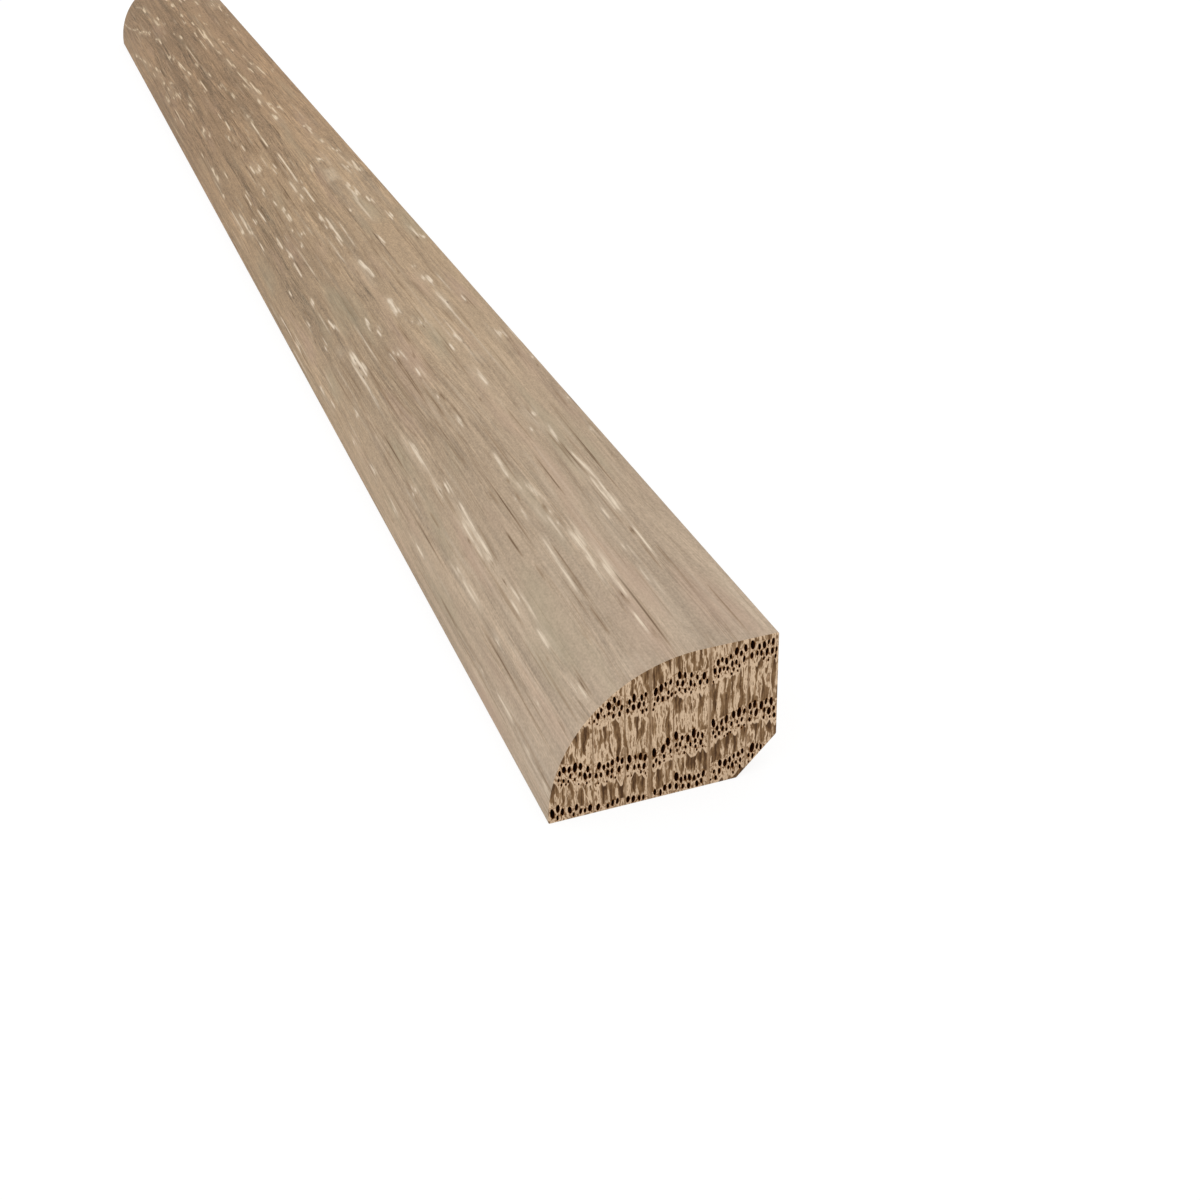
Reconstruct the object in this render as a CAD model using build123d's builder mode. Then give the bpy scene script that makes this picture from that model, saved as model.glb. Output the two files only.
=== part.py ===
"""Oak shoe moulding, the small trim that closes the joint between a floor and a skirting board.

It is one length of solid oak, milled to the same section from end to end and sawn square
at both ends. The front is a full quarter circle that stands upright at the floor and runs
level into a narrow flat top. The hidden corner at the foot of the back is taken off at
45 degrees, so that the piece seats against floor and skirting over any grit between them.

X runs along the length, Y from the toe of the curve to the back, and Z up from the floor.
The origin is at the middle of the base. All sizes are in millimetres.
"""

import os

from build123d import *

# Driving dimensions
LENGTH = 304.8  # from one sawn end to the other
NOSE_RADIUS = 12.7  # quarter circle of the front, which spans the whole height
TOP_FLAT = 6.35  # level strip between the curved front and the back
BACK_RELIEF = 3.4  # leg of the 45 degree relief at the foot of the back

# Sizes that follow from them
HEIGHT = NOSE_RADIUS
WIDTH = NOSE_RADIUS + TOP_FLAT
BACK = WIDTH / 2
NOSE_CENTRE = BACK - TOP_FLAT

with BuildPart() as shoe_moulding:
    # The section before its relief, seen from the +X end: curved front, top, back, base
    with BuildSketch(Plane.YZ):
        with BuildLine():
            nose = CenterArc((NOSE_CENTRE, 0), NOSE_RADIUS, start_angle=180, arc_size=-90)
            top = Line(nose @ 1, (BACK, HEIGHT))
            back = Line(top @ 1, (BACK, 0))
            Line(back @ 1, nose @ 0)
        make_face()
    extrude(amount=LENGTH / 2, both=True)

    # The relief runs the whole length along the lowest edge of the back
    back_foot = shoe_moulding.edges().filter_by(Axis.X).group_by(Axis.Z)[0].sort_by(Axis.Y)[-1]
    chamfer(back_foot, length=BACK_RELIEF)

shoe_moulding.part.label = "shoe_moulding"

os.makedirs("parts", exist_ok=True)
export_step(shoe_moulding.part, "parts/shoe_moulding.step")
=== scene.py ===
"""Looks of the oak shoe moulding: a limed front and top, plain milled hidden faces and sawn end grain.

The board lies along X, with its curved front towards -Y, its back towards +Y and its base on the
floor at Z = 0. Growth rings, rays and pores are laid out once, in GrowthRings, and both the mesh
of the sawn ends and the bare finishes follow that layout. LimedGrain lays out the streaks of the
limed faces, and both their relief and their finish follow it.
"""

import logging
import math
import random
from collections.abc import Callable
from dataclasses import dataclass, field
from enum import IntEnum
from functools import partial
from typing import ClassVar

import bmesh
import bpy
from mathutils import Matrix, Vector, kdtree, noise
from mathutils.geometry import delaunay_2d_cdt


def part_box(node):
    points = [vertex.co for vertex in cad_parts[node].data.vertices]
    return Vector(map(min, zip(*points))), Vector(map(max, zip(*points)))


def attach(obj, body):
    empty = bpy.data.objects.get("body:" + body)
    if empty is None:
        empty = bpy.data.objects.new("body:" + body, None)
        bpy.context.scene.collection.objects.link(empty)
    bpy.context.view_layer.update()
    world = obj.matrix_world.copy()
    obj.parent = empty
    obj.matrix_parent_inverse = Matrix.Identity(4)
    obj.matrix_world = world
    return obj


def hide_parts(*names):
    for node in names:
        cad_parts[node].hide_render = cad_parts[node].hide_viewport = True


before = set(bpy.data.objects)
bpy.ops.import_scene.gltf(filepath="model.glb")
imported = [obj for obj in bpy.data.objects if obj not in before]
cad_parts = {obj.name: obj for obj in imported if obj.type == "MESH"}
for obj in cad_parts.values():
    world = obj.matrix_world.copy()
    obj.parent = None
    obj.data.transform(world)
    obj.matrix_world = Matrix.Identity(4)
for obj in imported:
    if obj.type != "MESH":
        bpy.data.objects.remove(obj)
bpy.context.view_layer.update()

log = logging.getLogger("shoe moulding")

MM = 0.001
NODE = "shoe_moulding"
BODY = "root"

MATH = "ShaderNodeMath"
VECTOR = "ShaderNodeVectorMath"
BLEND = "ShaderNodeMix"
SPREAD = "ShaderNodeMapRange"
CLOUD = "ShaderNodeTexNoise"
RAMP = "ShaderNodeValToRGB"
ATTRIBUTE = "ShaderNodeAttribute"

Adder = Callable[..., bpy.types.NodeSocket]


class Zone(IntEnum):
    """Kinds of surface on the piece, numbered as its material slots are."""

    SHOW = 0
    BARE = 1
    SAWN = 2
    VESSEL = 3


def linear(colour: str) -> tuple[float, float, float, float]:
    """Turns an sRGB hex colour into the linear one that the nodes take.

    Args:
        colour: Six hex digits after a hash sign.

    Returns:
        Red, green and blue in linear light, and an alpha of 1.
    """
    values = [int(colour[i : i + 2], 16) / 255 for i in (1, 3, 5)]
    return (*(v / 12.92 if v <= 0.04045 else ((v + 0.055) / 1.055) ** 2.4 for v in values), 1.0)


def per_mm(along: float, across: float, up: float | None = None) -> tuple[float, float, float]:
    """Works out how a pattern is scaled, so that one repeat has a real size.

    Args:
        along: Size of one repeat along the grain, in millimetres.
        across: Its size across the grain, in millimetres.
        up: Its height, in millimetres, if that differs from its size across.

    Returns:
        Factors for object coordinates in metres.
    """
    return 1 / (along * MM), 1 / (across * MM), 1 / ((up or across) * MM)


def add_node(
    tree: bpy.types.NodeTree,
    kind: str,
    links: dict[int | str, object] | None = None,
    stops: tuple[tuple[float, str], ...] = (),
    **settings: object,
) -> bpy.types.NodeSocket:
    """Adds a node with its settings and links.

    Args:
        tree: Tree that the node joins.
        kind: Type of the node.
        links: What each input takes, by its name or number: an output, a value or a hex colour.
        stops: Places and colours on the node's ramp, from its low end up, if it has one.
        **settings: Properties of the node.

    Returns:
        The node's first live output, whose node attribute leads to the others.
    """
    node = tree.nodes.new(kind)
    for name, value in settings.items():
        setattr(node, name, value)
    for key, value in (links or {}).items():
        live = [s for s in node.inputs if s.enabled and key in (s.name, s.identifier)]
        socket = live[0] if live else node.inputs[key]
        if isinstance(value, bpy.types.NodeSocket):
            tree.links.new(value, socket)
        else:
            socket.default_value = linear(value) if isinstance(value, str) else value
    if stops:
        elements = node.color_ramp.elements
        elements.remove(elements[1])
        for i, (place, colour) in enumerate(stops):
            stop = elements.new(place) if i else elements[0]
            stop.position = place
            stop.color = linear(colour)
    return next((s for s in node.outputs if s.enabled), None)


def patterns(
    add: Adder, source: bpy.types.NodeSocket, rows: dict[str, tuple[float, ...]], first: int = 0
) -> dict[str, bpy.types.NodeSocket]:
    """Adds cloudy patterns of real sizes, each cut from another place.

    Args:
        add: Adds a node to the finish.
        source: Output with the place on the piece, in metres.
        rows: Sizes of each pattern, as per_mm takes them, and then its detail, by its name.
        first: Number of the first pattern.

    Returns:
        Output with each pattern, by its name.
    """
    found = {}
    for k, (name, (*sizes, detail)) in enumerate(rows.items(), first):
        spot = {0: source, 1: per_mm(*sizes), 2: (3.1 * k, 7.7 * k, 1.3 * k)}
        spot = add(VECTOR, spot, operation="MULTIPLY_ADD")
        found[name] = add(CLOUD, {"Vector": spot, "Scale": 1.0, "Detail": detail, "Roughness": 0.6})
    return found


def placed(bm: bmesh.types.BMesh, name: str) -> bpy.types.Object:
    """Turns a finished bmesh into an object of the scene.

    Args:
        bm: The bmesh, which is freed.
        name: Name of the object and of its mesh.

    Returns:
        The object.
    """
    mesh = bpy.data.meshes.new(name)
    bm.to_mesh(mesh)
    bm.free()
    made = bpy.data.objects.new(name, mesh)
    bpy.context.scene.collection.objects.link(made)
    return made


@dataclass(frozen=True)
class Section:
    """Milled section of the board, in metres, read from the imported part.

    Attributes:
        width: From the toe of the curve to the back.
        height: From the base to the flat top, which is also the radius of the curve.
        relief: Leg of the 45 degree relief at the foot of the back.
    """

    width: float
    height: float
    relief: float

    @property
    def nose(self) -> float:
        """Where the centre of the front's quarter circle stands across the board."""
        return self.height - self.width / 2

    def inset(self, across: float, up: float) -> float:
        """Measures how deep a point lies inside the outline.

        Args:
            across: The point's Y, in metres.
            up: Its Z, in metres.

        Returns:
            Distance to the nearest side, below zero outside the section.
        """
        back = self.width / 2
        curve = self.height - math.hypot(min(across - self.nose, 0.0), up)
        slope = (back - self.relief - across + up) / math.sqrt(2)
        return min(curve, slope, back - across, up)

    def around(self, across: float, up: float) -> float:
        """Measures how far a point of the front or the top is from the toe, over the surface.

        Args:
            across: The point's Y, in metres.
            up: Its Z, in metres.

        Returns:
            The distance, in metres.
        """
        if across < self.nose:
            return self.height * math.atan2(up, self.nose - across)
        return self.height * math.pi / 2 + across - self.nose


@dataclass(frozen=True)
class Pore:
    """One open vessel in the sawn end, as a leaning ellipse in the plane of the end.

    Attributes:
        across: Y of its middle, in metres.
        up: Z of its middle, in metres.
        half_width: Half of its width, in metres.
        half_height: Half of its height, in metres.
        lean: Angle that its top leans towards the back, in radians.
        points: Number of points that its outline is checked at.
    """

    across: float
    up: float
    half_width: float
    half_height: float
    lean: float
    points: int = 24

    def outline(self, grown: float) -> list[tuple[float, float]]:
        """Lists points round the pore.

        Args:
            grown: How far outside the pore they lie, in metres.

        Returns:
            The points, as Y and Z in metres.
        """
        points = []
        for step in range(self.points):
            turn = 2 * math.pi * step / self.points
            level = (self.half_width + grown) * math.cos(turn)
            upright = (self.half_height + grown) * math.sin(turn)
            across = self.across + level * math.cos(self.lean) + upright * math.sin(self.lean)
            points.append((across, self.up + upright * math.cos(self.lean) - level * math.sin(self.lean)))
        return points

    def holds(self, across: float, up: float, grown: float) -> bool:
        """Says whether a point lies inside the pore.

        Args:
            across: The point's Y, in metres.
            up: Its Z, in metres.
            grown: How far outside the pore it may lie, in metres.

        Returns:
            True if it does.
        """
        side = across - self.across
        rise = up - self.up
        level = side * math.cos(self.lean) - rise * math.sin(self.lean)
        upright = rise * math.cos(self.lean) + side * math.sin(self.lean)
        return math.hypot(level / (self.half_width + grown), upright / (self.half_height + grown)) < 1.0

    def clears(self, other: "Pore", gap: float) -> bool:
        """Says whether another pore stands at least a gap away.

        Args:
            other: The other pore.
            gap: Wood left between the two, in metres.

        Returns:
            True if there is room.
        """
        if math.hypot(self.across - other.across, self.up - other.up) > 1.0 * MM + gap:
            return True
        mine = any(other.holds(*point, gap / 2) for point in self.outline(gap / 2))
        return not mine and not any(self.holds(*point, gap / 2) for point in other.outline(gap / 2))

    def fits(self, section: Section, margin: float) -> bool:
        """Says whether the pore stands clear of the outline all round.

        Args:
            section: The outline.
            margin: Wood left between the two, in metres.

        Returns:
            True if there is room.
        """
        return all(section.inset(*point) > 0.0 for point in self.outline(margin))


@dataclass(frozen=True)
class PoreRow:
    """One row of pores in an earlywood band, in millimetres.

    Attributes:
        depth: How far the row lies below the top of its band.
        pitch: Usual distance from pore to pore.
        width: Usual width of a pore.
        height: Usual height of a pore.
        share: Share of the places in the row that hold a pore.
    """

    depth: float
    pitch: float
    width: float
    height: float
    share: float


@dataclass(frozen=True)
class GrowthRings:
    """Lie of the growth rings and rays in the wood, in millimetres.

    Attributes:
        tops: Level of each earlywood band's upper edge, in the middle of the board.
        rise: Points (across, up) of the line that every band follows.
        rise_range: Lowest and highest level that the line may reach.
        rays: Place across the board, at half its height, and width of each broad ray.
        ray_lean: How far a ray leans towards the back for each millimetre up.
        rows: Rows of pores in a band, from the top down.
        tries: How often a pore is shifted a little before its place is left empty.
        wood_between: Least wood between two pores, and between a pore and the outline.
        first: Least distance of a row's first place from the toe.
        stray: How far a pore may stray from its place, across and up.
        pitches: Shortest and longest step to the next place, as a share of the pitch.
        sizes: Smallest and largest size of a pore, as a share of the usual one.
        widths: The same for its width alone.
        heights: The same for its height alone.
        leans: Least and greatest lean of a pore towards the back, in degrees.
    """

    tops: tuple[float, ...] = (15.9, 10.95, 5.45, 1.5)
    rise: tuple[tuple[float, float], ...] = (
        (-9.5, 0.0),
        (-8.2, -0.1),
        (-7.0, -0.45),
        (-5.2, -0.88),
        (-4.0, -0.72),
        (-3.3, -0.7),
        (-2.3, -0.95),
        (-1.5, -0.95),
        (-0.6, -0.72),
        (0.4, -0.22),
        (1.1, 0.25),
        (1.9, 0.05),
        (3.6, -0.02),
        (3.95, 0.55),
        (5.2, 0.85),
        (6.2, 1.15),
        (7.4, 1.45),
        (9.5, 1.35),
    )
    rise_range: tuple[float, float] = (-2.0, 2.0)
    rays: tuple[tuple[float, float], ...] = (
        (-5.75, 0.12),
        (-3.15, 0.12),
        (-1.1, 0.3),
        (0.8, 0.1),
        (3.8, 0.26),
        (6.95, 0.14),
    )
    ray_lean: float = 0.02
    rows: tuple[PoreRow, ...] = (
        PoreRow(0.36, 0.37, 0.325, 0.76, 0.97),
        PoreRow(0.92, 0.37, 0.29, 0.66, 0.93),
        PoreRow(1.4, 0.38, 0.25, 0.48, 0.75),
        PoreRow(1.74, 0.42, 0.16, 0.28, 0.4),
    )
    tries: int = 30
    wood_between: float = 0.085
    first: float = 0.05
    stray: tuple[float, float] = (0.16, 0.24)
    pitches: tuple[float, float] = (0.8, 1.2)
    sizes: tuple[float, float] = (0.7, 1.18)
    widths: tuple[float, float] = (0.9, 1.1)
    heights: tuple[float, float] = (0.85, 1.15)
    leans: tuple[float, float] = (-6.0, 9.0)

    def rise_at(self, across: float) -> float:
        """Reads the bands' common line.

        Args:
            across: Y, in millimetres.

        Returns:
            Height of the line there, in millimetres.
        """
        for (y0, z0), (y1, z1) in zip(self.rise, self.rise[1:]):
            if across <= y1:
                return z0 + (z1 - z0) * max(across - y0, 0.0) / (y1 - y0)
        return self.rise[-1][1]

    def on_ray(self, across: float, up: float, width: float, middle: float) -> bool:
        """Says whether a pore would cut into a broad ray.

        Args:
            across: Y, in millimetres.
            up: Z, in millimetres.
            width: Width of the pore, in millimetres.
            middle: Half the board's height, in millimetres.

        Returns:
            True on a ray.
        """
        place = across - self.ray_lean * (up - middle)
        return any(abs(place - ray) < (thickness + width) / 2 for ray, thickness in self.rays)

    def pores(self, section: Section, seed: int) -> list[Pore]:
        """Lays out the open pores of one sawn end.

        Args:
            section: Outline that the pores stay inside.
            seed: Start of the random draws, so that each end differs and each run is alike.

        Returns:
            The pores, none of which touch each other, a ray or the outline.
        """
        draw = random.Random(seed)
        found: list[Pore] = []
        half = section.width / MM / 2
        middle = section.height / MM / 2
        gap = self.wood_between * MM
        aside, aloft = self.stray
        for top in self.tops:
            for row in self.rows:
                spot = -half + draw.uniform(self.first, row.pitch)
                while spot < half:
                    held = draw.random() < row.share
                    for _ in range(self.tries if held else 0):
                        across = spot + draw.uniform(-aside, aside)
                        up = top + self.rise_at(across) - row.depth + draw.uniform(-aloft, aloft)
                        size = draw.uniform(*self.sizes)
                        pore = Pore(
                            across * MM,
                            up * MM,
                            row.width / 2 * size * draw.uniform(*self.widths) * MM,
                            row.height / 2 * size * draw.uniform(*self.heights) * MM,
                            math.radians(draw.uniform(*self.leans)),
                        )
                        if (
                            pore.fits(section, gap)
                            and not self.on_ray(across, up, row.width, middle)
                            and all(pore.clears(other, gap) for other in found)
                        ):
                            found.append(pore)
                            break
                    spot += row.pitch * draw.uniform(*self.pitches)
        return found

    def depth(self, add: Adder, across: object, up: object, section: Section) -> bpy.types.NodeSocket:
        """Adds nodes that tell how deep a point lies below the top of its earlywood band.

        Args:
            add: Adds a node to the finish.
            across: Output with the point's Y, in millimetres.
            up: Output with its Z, in millimetres.
            section: The milled section.

        Returns:
            Output with the depth, in millimetres.
        """
        half = section.width / MM / 2
        low, high = self.rise_range
        share = add(SPREAD, {"Value": across, "From Min": -half, "From Max": half})
        line = add("ShaderNodeFloatCurve", {"Value": share})
        curve = line.node.mapping.curves[0]
        spots = [((y + half) / (2 * half), (z - low) / (high - low)) for y, z in self.rise]
        for spot in spots[1:-1]:
            curve.points.new(*spot)
        curve.points[0].location = (0.0, spots[0][1])
        curve.points[-1].location = (1.0, spots[-1][1])
        for point in curve.points:
            point.handle_type = "VECTOR"
        line.node.mapping.update()
        rise = add(SPREAD, {"Value": line, "To Min": low, "To Max": high})
        level = add(MATH, {0: up, 1: rise}, operation="SUBTRACT")
        found = add(MATH, {0: self.tops[0], 1: level}, operation="SUBTRACT")
        for top in self.tops[1:]:
            under = add(MATH, {0: level, 1: top}, operation="LESS_THAN")
            below = add(MATH, {0: top, 1: level}, operation="SUBTRACT")
            found = add(BLEND, {"Factor": under, "A": found, "B": below})
        return found

    def ray_mask(self, add: Adder, across: object, up: object, section: Section) -> bpy.types.NodeSocket:
        """Adds nodes that tell how near the middle of a broad ray a point lies.

        Args:
            add: Adds a node to the finish.
            across: Output with the point's Y, in millimetres.
            up: Output with its Z, in millimetres.
            section: The milled section.

        Returns:
            Output that is 1 in the middle of a ray and 0 beside it.
        """
        lean = add(MATH, {0: up, 1: -section.height / MM / 2}, operation="ADD")
        lean = add(MATH, {0: lean, 1: -self.ray_lean, 2: across}, operation="MULTIPLY_ADD")
        mask = None
        for ray, width in self.rays:
            away = add(MATH, {0: lean, 1: ray}, operation="SUBTRACT")
            away = add(MATH, {0: away}, operation="ABSOLUTE")
            reach = {"Value": away, "From Min": width * 0.75, "From Max": width / 3}
            one = add(SPREAD, reach)
            mask = one if mask is None else add(MATH, {0: mask, 1: one}, operation="MAXIMUM")
        return mask


@dataclass(frozen=True)
class Streak:
    """One brushed-out pore, or one dark line, on the front or the top, in millimetres.

    Attributes:
        along: X of its middle.
        around: Distance of its middle from the toe, over the surface.
        climb: How far it climbs from the toe for each millimetre along.
        reach: Half of its length.
        width: Distance from its line at which it has faded by two thirds.
        strength: How full of lime, or how dark it is, from 0 to 1.
    """

    along: float
    around: float
    climb: float
    reach: float
    width: float
    strength: float

    def strength_at(self, along: float, around: float) -> float:
        """Tells how strong the streak is at a point.

        Args:
            along: The point's X.
            around: Its distance from the toe, over the surface.

        Returns:
            From 0, nothing, to the streak's strength.
        """
        run = (along - self.along) / self.reach
        off = (around - self.around - self.climb * (along - self.along)) / self.width
        return self.strength * max(1 - run**4, 0.0) * math.exp(-off * off)


@dataclass(frozen=True)
class Strokes:
    """Streaks of one kind, each placed as the photograph shows it, in millimetres.

    Attributes:
        width: Width of each.
        strength: Strength of each, from 0 to 1.
        runs: For each, X and the distance from the toe at its near end, and then at its far end.
        shortest: Half of the shortest one that the slices of the mesh still show.
    """

    width: float
    strength: float
    runs: tuple[tuple[float, float, float, float], ...]
    shortest: float = 0.65

    def streaks(self) -> list[Streak]:
        """Lists the streaks.

        Returns:
            A streak for each run.
        """
        found = []
        for x0, s0, x1, s1 in self.runs:
            climb = (s1 - s0) / (x1 - x0)
            reach = max(abs(x1 - x0) / 2, self.shortest)
            middle = (x0 + x1) / 2, (s0 + s1) / 2
            found.append(Streak(*middle, climb, reach, self.width, self.strength))
        return found


# Long threads of lime.
THREADS = Strokes(
    width=0.14,
    strength=1.0,
    runs=(
        (148.6, 17.3, 144, 17.3), (143, 17.75, 136, 17.7), (137, 17.1, 130, 17.2), (118, 15.5, 111.4, 15.7),
        (127.3, 10.1, 121, 10.25), (121.5, 10.25, 114.8, 10.45), (113.1, 10.1, 110, 10.2),
        (150.8, 10.5, 147.9, 10.5), (142.6, 10.1, 138.6, 10.1), (129.5, 22.2, 122, 22.5),
        (122.5, 22.5, 115, 22.1), (138.6, 22.1, 131, 22.2), (104.5, 14.85, 101.5, 14.8),
        (81, 9.4, 72.7, 9.35), (65, 9.1, 60.7, 8.9), (71.8, 12.85, 68.7, 12.85), (114.5, 3.55, 110.8, 3.55),
        (142.9, 3.2, 137.6, 3.15), (89.5, 14.3, 87.5, 14.3), (87.3, 18.95, 85.2, 18.95),
        (45.5, 16, 32.7, 16.05), (27.3, 16.1, 17.7, 16.1), (16.3, 15.85, 4, 15.95), (6, 15.95, -1.2, 15.95),
        (-4.8, 15.35, -13, 15.35), (-12, 15.35, -22.5, 15.45), (45.3, 9.05, 38.3, 9.1),
        (32.7, 8.85, 26.7, 8.85), (19.7, 8.85, 12, 8.65), (9.7, 8.25, 5.7, 8.3), (54, 8.5, 52, 8.5),
        (44.7, 6.2, 42, 6.2), (25, 6.05, 21, 6.05), (49.7, 20.6, 45, 20.35), (39.3, 24.1, 37, 24.1),
        (31.3, 22.85, 28.3, 22.85), (23.5, 21.9, 21, 21.9), (14.7, 24.85, 10, 25), (28, 12.1, 24, 12.15),
        (-10.3, 12.1, -14.7, 12.05), (-23.7, 11.9, -31, 12.1), (-21.7, 19.85, -27, 19.85),
        (-37, 19.5, -46.3, 19.5), (-42, 19.05, -56, 18.8), (-76.3, 18.1, -92, 18.3),
        (-85.3, 17.7, -97.7, 17.9), (-89, 16.7, -94.7, 16.75), (-51, 12.4, -61.7, 12.35),
        (-67.3, 11.65, -72.3, 11.3), (-72, 11.2, -83, 10.9), (-57.7, 14.4, -61.7, 14.4),
        (-48.7, 23, -58, 22.7), (-109.7, 24.75, -117.3, 25),
    ),
)
# Broad pools of lime.
POOLS = Strokes(
    width=0.19,
    strength=1.0,
    runs=(
        (107.3, 21.6, 105.4, 21.7), (110.1, 20.3, 108.7, 20.3), (152, 2.6, 150.6, 2.65),
        (85, 24.85, 83.8, 24.85), (84.6, 20.4, 83.2, 20.15), (66, 22.3, 63.3, 22.3),
        (59.7, 16.6, 55.5, 16.5), (56.5, 16.45, 52.3, 16.25), (68.7, 2.35, 66.3, 2.4),
        (8.3, 20.75, 6.9, 20.8), (50, 25.65, 48, 25.65), (-24.8, 20.8, -26.3, 20.8),
        (-18.7, 19.4, -20.7, 19.4), (-11.3, 22.35, -13, 22.35), (-71.3, 20.85, -74, 20.85),
        (-79.3, 20.35, -81.7, 20.45), (-88.7, 10, -91.3, 10.1), (-99.7, 17.65, -104, 17.6),
        (-102.3, 10, -107.3, 10), (-133.7, 10.75, -139.3, 10.75), (-36.3, 7.95, -38.3, 7.9),
        (-7.3, 4.6, -9.3, 4.6), (-94.3, 5.95, -98, 5.95), (11, 4.3, 8.7, 4.2),
        (-109.7, 16.75, -114.7, 16.75), (-93.3, 14, -98, 14), (-122.3, 16.4, -127.3, 16.45),
        (-119, 12.3, -123.7, 12.3), (-82.3, 5.85, -84.7, 5.8), (-130.3, 16.1, -134, 16),
        (-124, 18.5, -130, 18.4), (-125, 19.3, -131, 19.4),
    ),
)
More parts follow.
